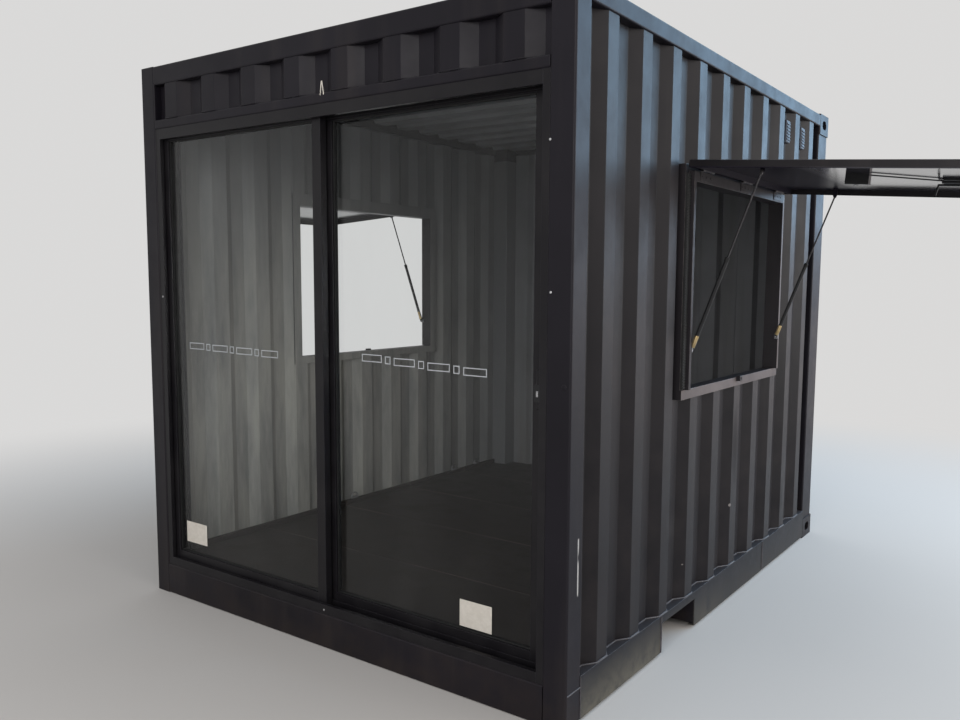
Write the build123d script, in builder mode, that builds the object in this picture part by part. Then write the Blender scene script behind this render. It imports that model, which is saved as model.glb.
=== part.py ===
# Shipping container cabin: half of a 20 ft steel container, glazed in front,
# with a top-hung hatch in each side. Millimetres, +Z up, front at -Y,
# origin at the bottom centre.
from build123d import *
from math import atan2, cos, degrees, hypot, radians, sin, tan
import os

os.makedirs("parts", exist_ok=True)

# Overall size
length = 3029
width = 2438
height = 2591

# Steel frame
casting_rise = 6
rail_rise = 12
post_width = 100
post_depth = 100
post_wall = 5
post_corner = 8
front_top_rail_height = 87
header_strip_height = 162
header_beam_height = 43
front_sill_height = 150
tube_wall = 4

# Corner castings and rear posts
casting_x = 162
casting_y = 178
casting_z = 118
casting_wall = 16
casting_top_wall = 28
casting_slot_length = 79
casting_slot_width = 51
casting_top_slot_length = 124
casting_top_slot_width = 63
casting_edge = 6
rear_post_inset = 6
rear_post_wall = 6
rear_rail_size = 60
rear_sill_height = 150
rear_sill_flange = 60

# Side rails
top_rail_height = 68
top_rail_depth = 60
bottom_rail_height = 163
bottom_rail_wall = 4.5
bottom_rail_foot = 30
bottom_rail_seat = 48

# Pressed panels: crest, slope and valley of each
sheet = 2
side_inset = 6
side_crest = 78
side_slope = 52
side_valley = 88
side_depth = 36
side_first_crest = 225.5
rear_inset = 4
rear_crest = 110
rear_slope = 18
rear_valley = 104
rear_depth = 45.6
header_crest = 88
header_slope = 60
header_valley = 72
header_depth = 36
header_inset = 3
header_first_crest = 86
roof_crest = 91
roof_slope = 14
roof_valley = 91
roof_depth = 20
roof_drop = 5

# Floor
floor_thickness = 28
floor_top = 172
floor_side_gap = 0.5
member_height = 122
member_flange = 45
member_wall = 4
front_member_setback = 134
front_member_pitch = 250
front_member_count = 3
rear_member_setback = 1194
rear_member_pitch = 290
rear_member_count = 6

# Fork pocket
pocket_width = 360
pocket_setback = 961
pocket_wall = 4.5

# Door frame, depths counted from its front face
door_inset = 4
jamb_width = 30
door_head_height = 49
door_sill_height = 40
front_lip = 20
track_width = 43
middle_lip = 3
rear_lip = 4
track_depth = 15
sill_track_depth = 25
door_web = 12
track_rib_width = 5
track_rib_height = 7

# Sashes
sash_thickness = 33
sash_side_gap = 5
sash_stop_gap = 5
sash_rib_gap = 0.3
sash_top_gap = 13
fixed_stile_width = 42
meeting_stile_width = 50
lock_stile_width = 82
fixed_stile_offset = -12
sliding_stile_offset = -45
top_rail_low = 6
bottom_rail_top = 35
glass_thickness = 6
glass_bite = 8

# Door handle
handle_length = 175
handle_width = 30
handle_plate = 4
handle_reach = 28
handle_bar = 9
handle_height = 1205
handle_from_edge = 42
leaf_travel = 1040

# Hatches
hatch_low = 1088
hatch_height = 987
hatch_front = 889.5
hatch_width = 1270
hatch_border = 55
hatch_sill = 42
hatch_head = 70
hatch_inner_depth = 46
hatch_flange_out = 6
hatch_lip_width = 20
hatch_lip_out = 25
hatch_lip_head = 43
hatch_sill_out = 7

# Hinges of the flaps
hinge_radius = 7
hinge_length = 120
hinge_pin_radius = 3
hinge_gap = 0.05
knuckle_side_gap = 1
hinge_leaf = 3
hinge_leaf_height = 36
hinge_drop = 19
hinge_offset = 8
hinge_spread = 480

# Flaps
flap_open_angle = 86
flap_thickness = 32
flap_cover = 21
flap_root = 9
flap_length = 1000
flap_corner = 4
flap_rim = 4
flap_skin = 3
flap_lining = 2
flap_lining_gap = 0.3
lock_box_distance = 540
lock_box_side = -178
lock_box_length = 95
lock_box_width = 40
lock_box_height = 45
lock_box_edge = 2
bolt_distance = 905
bolt_side = 25
bolt_length = 150
bolt_radius = 8
bolt_plate = 4
bolt_plate_width = 50

# Gas struts
strut_radius = 9
strut_bore = 7.5
strut_foot_drop = 756
strut_foot_out = 24
strut_side_gap = 15
strut_length = 415
strut_gland = 6
strut_lower_plug = 30
strut_eye_radius = 7
strut_eye_width = 10
strut_neck = 14
stud_radius = 4
stud_gap = 0.05
stud_plate = 4
stud_plate_size = 20
rod_radius = 4
rod_gap = 0.06
rod_length = 390
rod_piston_radius = 7.3
rod_piston_length = 12
rod_eye_radius = 6.5
rod_eye_width = 10
rod_neck = 12
lug_distance = 262
lug_drop = 6
lug_radius = 10
lug_thickness = 4
lug_gap = 0.5

# Vents and lashing rings
vent_width = 68
vent_height = 118
vent_depth = 28
vent_edge = 4
vent_top_drop = 52
vent_count = 2
ring_radius = 22
ring_bar = 5
ring_bar_gap = 10
ring_clip = 14
ring_setbacks = [1345, 2355, 2625]

# Places worked out from the sizes
half_width = width / 2
front = -length / 2
rear = length / 2
frame_top = height - casting_rise
post_back = front + post_depth
opening_half = half_width - post_width
casting_front = rear - casting_y
rear_half = half_width - casting_x
header_top = frame_top - front_top_rail_height
header_low = header_top - header_strip_height
beam_low = header_low - header_beam_height
rail_low = rail_rise
rail_top = rail_rise + bottom_rail_height
upper_rail_low = frame_top - top_rail_height
side_face = half_width - side_inset
floor_low = floor_top - floor_thickness
web_half = half_width - bottom_rail_wall
pocket_centre = front + pocket_setback


def finish(piece, name):
    piece.part.label = name
    export_step(piece.part, f"parts/{name}.step")


def mirrored(side):
    if side < 0:
        mirror(about=Plane.YZ, mode=Mode.REPLACE)


def side_name(side):
    return "right" if side > 0 else "left"


def pressed_sheet(start, end, first_crest, crest, slope, valley, depth, thickness):
    # Outline of a pressed panel as (along, depth below the crests), closed
    shift = thickness * tan(atan2(depth, slope) / 2)
    face = [(start, depth)]
    back = [(start, depth + thickness)]
    place = first_crest
    while place + crest + slope < end:
        face += [(place - slope, depth), (place, 0)]
        face += [(place + crest, 0), (place + crest + slope, depth)]
        back += [(place - slope + shift, depth + thickness), (place + shift, thickness)]
        back += [(place + crest - shift, thickness), (place + crest + slope - shift, depth + thickness)]
        place += crest + 2 * slope + valley
    face.append((end, depth))
    back.append((end, depth + thickness))
    return face + back[::-1]


# Front frame: two posts, top rail, beam over the door and sill
for side in (-1, 1):
    with BuildPart() as front_post:
        with BuildSketch(Plane.XY):
            with Locations((side * (half_width - post_width / 2), front + post_depth / 2)):
                RectangleRounded(post_width, post_depth, post_corner)
        extrude(amount=frame_top)
        with BuildSketch(Plane.XY):
            with Locations((side * (half_width - post_width / 2), front + post_depth / 2)):
                Rectangle(post_width - 2 * post_wall, post_depth - 2 * post_wall)
        extrude(amount=frame_top - post_wall, mode=Mode.SUBTRACT)
    finish(front_post, f"front_{side_name(side)}_post")


def front_tube(low, tube_height, name):
    with BuildPart() as tube:
        with BuildSketch(Plane.YZ.offset(-opening_half)):
            with Locations((front + post_depth / 2, low + tube_height / 2)):
                RectangleRounded(post_depth, tube_height, post_corner)
                Rectangle(post_depth - 2 * tube_wall, tube_height - 2 * tube_wall, mode=Mode.SUBTRACT)
        extrude(amount=2 * opening_half)
    finish(tube, name)


front_tube(header_top, front_top_rail_height, "front_top_rail")
front_tube(beam_low, header_beam_height, "header_beam")
front_tube(0, front_sill_height, "front_sill")

with BuildPart() as header_panel:
    with BuildSketch(Plane.XY.offset(header_low)):
        with BuildLine():
            Polyline(
                *[
                    (x, front + header_inset + depth)
                    for x, depth in pressed_sheet(
                        -opening_half,
                        opening_half,
                        header_first_crest - opening_half,
                        header_crest,
                        header_slope,
                        header_valley,
                        header_depth,
                        sheet,
                    )
                ],
                close=True,
            )
        make_face()
    extrude(amount=header_strip_height)
finish(header_panel, "header_panel")

# Rear frame: corner castings, posts, top rail and sill
with BuildPart() as casting:
    Box(casting_x, casting_y, casting_z)
    chamfer(casting.edges().filter_by(Axis.Z), casting_edge)
    with Locations((0, 0, -casting_top_wall / 2)):
        Box(
            casting_x - 2 * casting_wall,
            casting_y - 2 * casting_wall,
            casting_z - casting_top_wall,
            mode=Mode.SUBTRACT,
        )
    with BuildSketch(Plane.YZ):
        SlotOverall(casting_slot_length, casting_slot_width)
    extrude(amount=casting_x, mode=Mode.SUBTRACT)
    with BuildSketch(Plane.XZ):
        SlotOverall(casting_slot_length, casting_slot_width)
    extrude(amount=-casting_y, mode=Mode.SUBTRACT)
    with BuildSketch(Plane.XY):
        SlotOverall(casting_top_slot_length, casting_top_slot_width, rotation=90)
    extrude(amount=casting_z, mode=Mode.SUBTRACT)

with BuildPart() as rear_castings:
    with Locations((half_width - casting_x / 2, rear - casting_y / 2, height - casting_z / 2)):
        add(casting.part)
    mirror(about=Plane.XY.offset(height / 2))
    mirror(about=Plane.YZ)
finish(rear_castings, "rear_castings")

with BuildPart() as rear_posts:
    post_x = casting_x - rear_post_inset
    post_y = casting_y - rear_post_inset
    with BuildSketch(Plane.XY.offset(casting_z)):
        with Locations((rear_half + post_x / 2, casting_front + post_y / 2)):
            RectangleRounded(post_x, post_y, post_corner)
            Rectangle(post_x - 2 * rear_post_wall, post_y - 2 * rear_post_wall, mode=Mode.SUBTRACT)
    extrude(amount=height - 2 * casting_z)
    mirror(about=Plane.YZ)
finish(rear_posts, "rear_posts")

with BuildPart() as rear_top_rail:
    with BuildSketch(Plane.YZ.offset(-rear_half)):
        with Locations((rear - rear_post_inset - rear_rail_size / 2, frame_top - rear_rail_size / 2)):
            RectangleRounded(rear_rail_size, rear_rail_size, post_corner)
            Rectangle(rear_rail_size - 2 * tube_wall, rear_rail_size - 2 * tube_wall, mode=Mode.SUBTRACT)
    extrude(amount=2 * rear_half)
finish(rear_top_rail, "rear_top_rail")

with BuildPart() as rear_sill:
    sill_back = rear - rear_post_inset
    with BuildSketch(Plane.YZ.offset(-rear_half)):
        with BuildLine():
            Polyline(
                (sill_back, rail_low),
                (sill_back, rail_low + rear_sill_height),
                (sill_back - rear_sill_flange, rail_low + rear_sill_height),
                (sill_back - rear_sill_flange, rail_low + rear_sill_height - bottom_rail_wall),
                (sill_back - bottom_rail_wall, rail_low + rear_sill_height - bottom_rail_wall),
                (sill_back - bottom_rail_wall, rail_low + bottom_rail_wall),
                (sill_back - rear_sill_flange, rail_low + bottom_rail_wall),
                (sill_back - rear_sill_flange, rail_low),
                close=True,
            )
        make_face()
    extrude(amount=2 * rear_half)
finish(rear_sill, "rear_sill")

# Rear wall, its crests centred on the cabin
rear_pitch = rear_crest + 2 * rear_slope + rear_valley
rear_gaps = int((2 * rear_half - rear_crest - 2 * rear_slope) // rear_pitch)
with BuildPart() as rear_wall:
    with BuildSketch(Plane.XY.offset(rail_low + rear_sill_height)):
        with BuildLine():
            Polyline(
                *[
                    (x, rear - rear_post_inset - rear_inset - depth)
                    for x, depth in pressed_sheet(
                        -rear_half,
                        rear_half,
                        -(rear_gaps * rear_pitch + rear_crest) / 2,
                        rear_crest,
                        rear_slope,
                        rear_valley,
                        rear_depth,
                        sheet,
                    )
                ],
                close=True,
            )
        make_face()
    extrude(amount=frame_top - rear_rail_size - rail_low - rear_sill_height)
finish(rear_wall, "rear_wall")

# Side rails, from the front posts to the castings
rail_run = casting_front - post_back
for side in (-1, 1):
    with BuildPart() as top_side_rail:
        with BuildSketch(Plane.XZ.offset(-post_back)):
            with Locations((half_width - top_rail_depth / 2, frame_top - top_rail_height / 2)):
                RectangleRounded(top_rail_depth, top_rail_height, post_corner)
                Rectangle(
                    top_rail_depth - 2 * tube_wall,
                    top_rail_height - 2 * tube_wall,
                    mode=Mode.SUBTRACT,
                )
        extrude(amount=-rail_run)
        mirrored(side)
    finish(top_side_rail, f"{side_name(side)}_top_rail")

    with BuildPart() as bottom_side_rail:
        with BuildSketch(Plane.XZ.offset(-post_back)):
            with BuildLine():
                Polyline(
                    (half_width - bottom_rail_foot, rail_low),
                    (half_width, rail_low),
                    (half_width, rail_top),
                    (half_width - bottom_rail_seat, rail_top),
                    (half_width - bottom_rail_seat, rail_top - bottom_rail_wall),
                    (web_half, rail_top - bottom_rail_wall),
                    (web_half, rail_low + bottom_rail_wall),
                    (half_width - bottom_rail_foot, rail_low + bottom_rail_wall),
                    close=True,
                )
            make_face()
        extrude(amount=-rail_run)
        with BuildSketch(Plane.YZ.offset(half_width - bottom_rail_seat)):
            with Locations((pocket_centre, (floor_low - pocket_wall) / 2)):
                Rectangle(pocket_width, floor_low - pocket_wall)
        extrude(amount=bottom_rail_seat, mode=Mode.SUBTRACT)
        mirrored(side)
    finish(bottom_side_rail, f"{side_name(side)}_bottom_rail")

# Roof, pressed across, notched round the top castings
roof_half = half_width - top_rail_depth
roof_end = rear - rear_post_inset - rear_rail_size
with BuildPart() as roof_panel:
    with BuildSketch(Plane.YZ.offset(-roof_half)):
        with BuildLine():
            Polyline(
                *[
                    (y, frame_top - roof_drop - depth)
                    for y, depth in pressed_sheet(
                        post_back,
                        roof_end,
                        post_back + roof_valley,
                        roof_crest,
                        roof_slope,
                        roof_valley,
                        roof_depth,
                        sheet,
                    )
                ],
                close=True,
            )
        make_face()
    extrude(amount=2 * roof_half)
    with Locations((rear_half + casting_x / 2, casting_front + casting_y / 2, frame_top)):
        Box(casting_x, casting_y, casting_z, mode=Mode.SUBTRACT)
    with Locations((-rear_half - casting_x / 2, casting_front + casting_y / 2, frame_top)):
        Box(casting_x, casting_y, casting_z, mode=Mode.SUBTRACT)
finish(roof_panel, "roof_panel")

# Floor, its cross members and the fork pocket
floor_front = front + door_inset + front_lip + 2 * track_width + middle_lip + rear_lip
floor_rear = rear - rear_post_inset - rear_sill_flange
floor_half = half_width - bottom_rail_seat - floor_side_gap
with BuildPart() as floor:
    with BuildSketch(Plane.XY.offset(floor_low)):
        with Locations((0, (floor_front + floor_rear) / 2)):
            Rectangle(2 * floor_half, floor_rear - floor_front)
        with Locations(
            (rear_half + casting_x / 2, casting_front + casting_y / 2),
            (-rear_half - casting_x / 2, casting_front + casting_y / 2),
        ):
            Rectangle(casting_x, casting_y, mode=Mode.SUBTRACT)
    extrude(amount=floor_thickness)
finish(floor, "floor")

member_places = [front + front_member_setback + n * front_member_pitch for n in range(front_member_count)]
member_places += [front + rear_member_setback + n * rear_member_pitch for n in range(rear_member_count)]
with BuildPart() as cross_members:
    with BuildSketch(Plane.YZ.offset(-web_half)):
        with Locations(*[(place, floor_low - member_height / 2) for place in member_places]):
            Rectangle(member_flange, member_height, align=(Align.MIN, Align.CENTER))
            with Locations((member_wall, 0)):
                Rectangle(
                    member_flange,
                    member_height - 2 * member_wall,
                    align=(Align.MIN, Align.CENTER),
                    mode=Mode.SUBTRACT,
                )
    extrude(amount=2 * web_half)
finish(cross_members, "cross_members")

with BuildPart() as fork_pocket:
    with BuildSketch(Plane.YZ.offset(-web_half)):
        with Locations((pocket_centre, floor_low)):
            Rectangle(
                pocket_width + 2 * pocket_wall,
                member_height,
                align=(Align.CENTER, Align.MAX),
            )
        with Locations((pocket_centre, floor_low - pocket_wall)):
            Rectangle(pocket_width, member_height, align=(Align.CENTER, Align.MAX), mode=Mode.SUBTRACT)
    extrude(amount=2 * web_half)
finish(fork_pocket, "fork_pocket")

# Side walls, split round the hatch
hatch_start = front + hatch_front
hatch_end = hatch_start + hatch_width
hatch_top = hatch_low + hatch_height


def side_wall(side, name, start, end, low, top):
    with BuildPart() as wall:
        with BuildSketch(Plane.XY.offset(low)):
            with BuildLine():
                Polyline(
                    *[
                        (side_face - depth, y)
                        for y, depth in pressed_sheet(
                            post_back,
                            casting_front,
                            front + side_first_crest,
                            side_crest,
                            side_slope,
                            side_valley,
                            side_depth,
                            sheet,
                        )
                    ],
                    close=True,
                )
            make_face()
        extrude(amount=top - low)
        with Locations((half_width, (start + end) / 2, (low + top) / 2)):
            Box(width, end - start, top - low, mode=Mode.INTERSECT)
        mirrored(side)
    finish(wall, f"{side_name(side)}_wall_{name}")


for side in (-1, 1):
    side_wall(side, "front", post_back, hatch_start, rail_top, upper_rail_low)
    side_wall(side, "rear", hatch_end, casting_front, rail_top, upper_rail_low)
    side_wall(side, "below_hatch", hatch_start, hatch_end, rail_top, hatch_low)
    side_wall(side, "above_hatch", hatch_start, hatch_end, hatch_top, upper_rail_low)

# Hatch frames: a flanged ring with an upstand lip on the jambs and head
hatch_centre = (hatch_start + hatch_end) / 2
clear_start = hatch_start + hatch_border
clear_end = hatch_end - hatch_border
clear_low = hatch_low + hatch_sill
clear_top = hatch_top - hatch_head
flange_face = half_width + hatch_flange_out
lip_face = flange_face + hatch_lip_out
hatch_inner = half_width - hatch_inner_depth
for side in (-1, 1):
    with BuildPart() as hatch_frame:
        with BuildSketch(Plane.YZ.offset(hatch_inner)):
            with Locations((hatch_centre, (hatch_low + hatch_top) / 2)):
                Rectangle(hatch_width, hatch_height)
            with Locations((hatch_centre, (clear_low + clear_top) / 2)):
                Rectangle(clear_end - clear_start, clear_top - clear_low, mode=Mode.SUBTRACT)
        extrude(amount=flange_face - hatch_inner)
        with BuildSketch(Plane.YZ.offset(flange_face)):
            with Locations((hatch_centre, clear_low)):
                Rectangle(
                    clear_end - clear_start + 2 * hatch_lip_width,
                    clear_top - clear_low + hatch_lip_head,
                    align=(Align.CENTER, Align.MIN),
                )
                Rectangle(
                    clear_end - clear_start,
                    clear_top - clear_low,
                    align=(Align.CENTER, Align.MIN),
                    mode=Mode.SUBTRACT,
                )
        extrude(amount=hatch_lip_out)
        with BuildSketch(Plane.YZ.offset(flange_face)):
            with Locations((hatch_centre, hatch_low + hatch_sill / 2)):
                Rectangle(hatch_width, hatch_sill)
        extrude(amount=hatch_sill_out)
        mirrored(side)
    finish(hatch_frame, f"{side_name(side)}_hatch_frame")

# Flap hinges: knuckles and pins on the frame, middle knuckles on the flap
hinge_x = lip_face + hinge_offset
hinge_z = hatch_top - hinge_drop
knuckle = hinge_length / 4
hinge_places = [hatch_centre - hinge_spread, hatch_centre, hatch_centre + hinge_spread]
leaf_top = hinge_z - hinge_radius - knuckle_side_gap
for side in (-1, 1):
    with BuildPart() as hatch_hinges:
        for place in hinge_places:
            for end in (-1, 1):
                centre = place + end * (hinge_length - knuckle) / 2
                with BuildSketch(Plane.XZ.offset(-centre - knuckle / 2)):
                    with Locations((hinge_x, hinge_z)):
                        Circle(hinge_radius)
                    with Locations((lip_face, leaf_top)):
                        Rectangle(hinge_leaf, hinge_z - leaf_top, align=(Align.MIN, Align.MIN))
                extrude(amount=knuckle)
            with BuildSketch(Plane.XZ.offset(-place - hinge_length / 2)):
                with Locations((hinge_x, hinge_z)):
                    Circle(hinge_pin_radius)
            extrude(amount=hinge_length)
            with BuildSketch(Plane.YZ.offset(lip_face)):
                with Locations((place, leaf_top)):
                    Rectangle(hinge_length, hinge_leaf_height, align=(Align.CENTER, Align.MAX))
            extrude(amount=hinge_leaf)
        mirrored(side)
    finish(hatch_hinges, f"{side_name(side)}_hatch_hinges")

# Flaps, drawn open: local x runs out from the hinge, local z is the outer face's side
tilt = radians(90 - flap_open_angle)
flap_plane = Plane(
    origin=(hinge_x, 0, hinge_z),
    x_dir=(cos(tilt), 0, -sin(tilt)),
    z_dir=(sin(tilt), 0, cos(tilt)),
)
strut_places = [clear_start + strut_side_gap, clear_end - strut_side_gap]
lug_offset = rod_eye_width / 2 + lug_gap + lug_thickness / 2
lug_places = [strut_places[0] + lug_offset, strut_places[1] - lug_offset]
tongue = hinge_length - 2 * knuckle - 2 * knuckle_side_gap


def hinge_line(offset):
    # A plane square to the hinge axis, at the given place along it, looking along -Y
    return Plane(
        origin=(hinge_x, offset, hinge_z),
        x_dir=(cos(tilt), 0, -sin(tilt)),
        z_dir=(0, -1, 0),
    )


cover_length = flap_cover + flap_root - flap_rim
cover_middle = (flap_root + flap_rim - flap_cover) / 2
pocket_length = flap_length - flap_root - 2 * flap_rim
pocket_middle = (flap_root + flap_length) / 2
pocket_width_inside = hatch_width - 2 * flap_rim
pocket_floor = flap_thickness - flap_skin
lining_plane = flap_plane.offset(pocket_floor - flap_lining)
for side in (-1, 1):
    with BuildPart() as flap:
        with BuildSketch(flap_plane):
            with Locations(((flap_length - flap_cover) / 2, hatch_centre)):
                Rectangle(flap_length + flap_cover, hatch_width)
        extrude(amount=flap_thickness)
        fillet(flap.edges().filter_by(lambda edge: edge.length > hatch_width / 2), flap_corner)
        with BuildSketch(flap_plane):
            with Locations((pocket_middle, hatch_centre)):
                Rectangle(pocket_length, pocket_width_inside)
            with Locations((cover_middle, hatch_centre)):
                Rectangle(cover_length, pocket_width_inside)
        extrude(amount=pocket_floor, mode=Mode.SUBTRACT)
        for place in hinge_places:
            with BuildSketch(hinge_line(place + tongue / 2)):
                Rectangle(flap_root + flap_rim, hinge_radius, align=(Align.MIN, Align.MIN))
                Circle(hinge_radius)
                Circle(hinge_pin_radius + hinge_gap, mode=Mode.SUBTRACT)
            extrude(amount=tongue)
        mirrored(side)
    finish(flap, f"{side_name(side)}_flap")

    with BuildPart() as flap_lining_panel:
        with BuildSketch(lining_plane):
            with Locations((pocket_middle, hatch_centre)):
                Rectangle(pocket_length - 2 * flap_lining_gap, pocket_width_inside - 2 * flap_lining_gap)
        extrude(amount=flap_lining)
        for place in lug_places:
            with BuildSketch(hinge_line(place + lug_thickness / 2)):
                with Locations((lug_distance, -lug_drop)):
                    Circle(lug_radius)
                    Rectangle(
                        2 * lug_radius,
                        lug_drop + pocket_floor - flap_lining / 2,
                        align=(Align.CENTER, Align.MIN),
                    )
            extrude(amount=lug_thickness)
        mirrored(side)
    finish(flap_lining_panel, f"{side_name(side)}_flap_lining")

    with BuildPart() as flap_locks:
        with BuildSketch(lining_plane):
            with Locations((lock_box_distance, hatch_centre + lock_box_side)):
                Rectangle(lock_box_length, lock_box_width)
        extrude(amount=-lock_box_height)
        chamfer(flap_locks.faces().sort_by(Axis.Z)[0].edges(), lock_box_edge)
        with BuildSketch(lining_plane):
            with Locations((bolt_distance, hatch_centre + bolt_side)):
                Rectangle(bolt_length - 2 * bolt_radius, bolt_plate_width)
        extrude(amount=-bolt_plate)
        bolt_plane = Plane(
            origin=lining_plane.from_local_coords(
                (bolt_distance - bolt_length / 2, hatch_centre + bolt_side, -bolt_plate / 2 - bolt_radius)
            ),
            z_dir=lining_plane.x_dir,
        )
        with BuildSketch(bolt_plane):
            Circle(bolt_radius)
        extrude(amount=bolt_length)
        mirrored(side)
    finish(flap_locks, f"{side_name(side)}_flap_locks")

# Gas struts, drawn at full reach with the flap open
foot_x = half_width + strut_foot_out
foot_z = hinge_z - strut_foot_drop
head_x = hinge_x + lug_distance * cos(tilt) - lug_drop * sin(tilt)
head_z = hinge_z - lug_distance * sin(tilt) - lug_drop * cos(tilt)
strut_reach = hypot(head_x - foot_x, head_z - foot_z)
strut_lean = atan2(head_x - foot_x, head_z - foot_z)


def strut_plane(place, distance):
    # Square to the strut's line, at a distance from its foot
    return Plane(
        origin=(foot_x + distance * sin(strut_lean), place, foot_z + distance * cos(strut_lean)),
        z_dir=(sin(strut_lean), 0, cos(strut_lean)),
    )


def eye_plane(x, place, z):
    # Through the middle of an eye, square to its stud, local x along the strut towards the head
    return Plane(origin=(x, place, z), x_dir=(sin(strut_lean), 0, cos(strut_lean)), z_dir=(0, -1, 0))


for side in (-1, 1):
    with BuildPart() as strut_studs:
        for place, wall, inward in ((strut_places[0], clear_start, 1), (strut_places[1], clear_end, -1)):
            with BuildSketch(Plane(origin=(foot_x, wall, foot_z), z_dir=(0, inward, 0))):
                Rectangle(stud_plate_size, stud_plate_size)
            extrude(amount=stud_plate)
            with BuildSketch(Plane(origin=(foot_x, wall, foot_z), z_dir=(0, inward, 0))):
                Circle(stud_radius)
            extrude(amount=strut_side_gap + strut_eye_width / 2)
        mirrored(side)
    finish(strut_studs, f"{side_name(side)}_strut_studs")

    with BuildPart() as strut_cylinders:
        for place in strut_places:
            with BuildSketch(eye_plane(foot_x, place, foot_z)):
                Circle(strut_eye_radius)
                Rectangle(strut_neck, 2 * strut_eye_radius, align=(Align.MIN, Align.CENTER))
                Circle(stud_radius + stud_gap, mode=Mode.SUBTRACT)
            extrude(amount=strut_eye_width / 2, both=True)
            with BuildSketch(strut_plane(place, strut_neck)):
                Circle(strut_radius)
            extrude(amount=strut_length - strut_neck)
            with BuildSketch(strut_plane(place, strut_lower_plug)):
                Circle(strut_bore)
            extrude(amount=strut_length - strut_lower_plug - strut_gland, mode=Mode.SUBTRACT)
            with BuildSketch(strut_plane(place, strut_length - strut_gland)):
                Circle(rod_radius + rod_gap)
            extrude(amount=strut_gland, mode=Mode.SUBTRACT)
        mirrored(side)
    finish(strut_cylinders, f"{side_name(side)}_strut_cylinders")

    with BuildPart() as strut_rods:
        for place in strut_places:
            with BuildSketch(strut_plane(place, strut_reach - rod_length)):
                Circle(rod_radius)
            extrude(amount=rod_length - rod_neck)
            with BuildSketch(strut_plane(place, strut_reach - rod_length)):
                Circle(rod_piston_radius)
            extrude(amount=rod_piston_length)
            with BuildSketch(eye_plane(head_x, place, head_z)):
                Circle(rod_eye_radius)
                Rectangle(rod_neck, 2 * rod_eye_radius, align=(Align.MAX, Align.CENTER))
            extrude(amount=rod_eye_width / 2, both=True)
        mirrored(side)
    finish(strut_rods, f"{side_name(side)}_strut_rods")

# Door frame: jambs, head and sill, each with two tracks
door_front = front + door_inset
door_depth = front_lip + 2 * track_width + middle_lip + rear_lip
first_track = door_front + front_lip
second_track = first_track + track_width + middle_lip
door_low = front_sill_height
door_top = beam_low
light_half = opening_half - jamb_width
light_low = door_low + door_sill_height
light_top = door_top - door_head_height
track_centres = [first_track + track_width / 2, second_track + track_width / 2]

with BuildPart() as door_jambs:
    with BuildSketch(Plane.XY.offset(door_low)):
        with Locations((light_half, door_front)):
            Rectangle(jamb_width, door_depth, align=(Align.MIN, Align.MIN))
        with Locations(*[(light_half, centre) for centre in track_centres]):
            Rectangle(track_depth, track_width, align=(Align.MIN, Align.CENTER), mode=Mode.SUBTRACT)
    extrude(amount=door_top - door_low)
    mirror(about=Plane.YZ)
finish(door_jambs, "door_jambs")

with BuildPart() as door_head:
    with BuildSketch(Plane.YZ.offset(-light_half)):
        with Locations((door_front, light_top)):
            Rectangle(door_depth, door_head_height, align=(Align.MIN, Align.MIN))
        with Locations(*[(centre, light_top) for centre in track_centres]):
            Rectangle(
                track_width,
                door_head_height - door_web,
                align=(Align.CENTER, Align.MIN),
                mode=Mode.SUBTRACT,
            )
    extrude(amount=2 * light_half)
finish(door_head, "door_head")

track_floor = light_low - sill_track_depth
with BuildPart() as door_sill:
    with BuildSketch(Plane.YZ.offset(-light_half)):
        with Locations((door_front, door_low)):
            Rectangle(door_depth, door_sill_height, align=(Align.MIN, Align.MIN))
        with Locations(*[(centre, track_floor) for centre in track_centres]):
            Rectangle(track_width, door_sill_height, align=(Align.CENTER, Align.MIN), mode=Mode.SUBTRACT)
        with Locations((track_centres[1], track_floor)):
            Rectangle(track_rib_width, track_rib_height, align=(Align.CENTER, Align.MIN))
    extrude(amount=2 * light_half)
finish(door_sill, "door_sill")


def sash_pane(name, left, right, left_stile, right_stile, centre, low, top):
    # A leaf of two stiles, two rails and one pane, grooved for the glass
    rail_up = light_low + bottom_rail_top
    rail_down = light_top - top_rail_low
    pane_left = left + left_stile - glass_bite
    pane_right = right - right_stile + glass_bite
    pane_middle = ((pane_left + pane_right) / 2, (rail_up + rail_down) / 2)
    pane_size = (pane_right - pane_left, rail_down - rail_up + 2 * glass_bite)
    groove = Plane.XZ.offset(-centre - glass_thickness / 2)

    with BuildPart() as stiles:
        with BuildSketch(Plane.XY.offset(low)):
            with Locations((left, centre)):
                Rectangle(left_stile, sash_thickness, align=(Align.MIN, Align.CENTER))
            with Locations((right, centre)):
                Rectangle(right_stile, sash_thickness, align=(Align.MAX, Align.CENTER))
        extrude(amount=top - low)
        with BuildSketch(groove):
            with Locations(pane_middle):
                Rectangle(*pane_size)
        extrude(amount=glass_thickness, mode=Mode.SUBTRACT)
    finish(stiles, f"{name}_stiles")

    with BuildPart() as rails:
        with BuildSketch(Plane.YZ.offset(left + left_stile)):
            with Locations((centre, low)):
                Rectangle(sash_thickness, rail_up - low, align=(Align.CENTER, Align.MIN))
            with Locations((centre, top)):
                Rectangle(sash_thickness, top - rail_down, align=(Align.CENTER, Align.MAX))
        extrude(amount=right - right_stile - left - left_stile)
        with BuildSketch(groove):
            with Locations(pane_middle):
                Rectangle(*pane_size)
        extrude(amount=glass_thickness, mode=Mode.SUBTRACT)
    finish(rails, f"{name}_rails")

    with BuildPart() as glass:
        with BuildSketch(groove):
            with Locations(pane_middle):
                Rectangle(*pane_size)
        extrude(amount=glass_thickness)
    finish(glass, f"{name}_glass")


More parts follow.
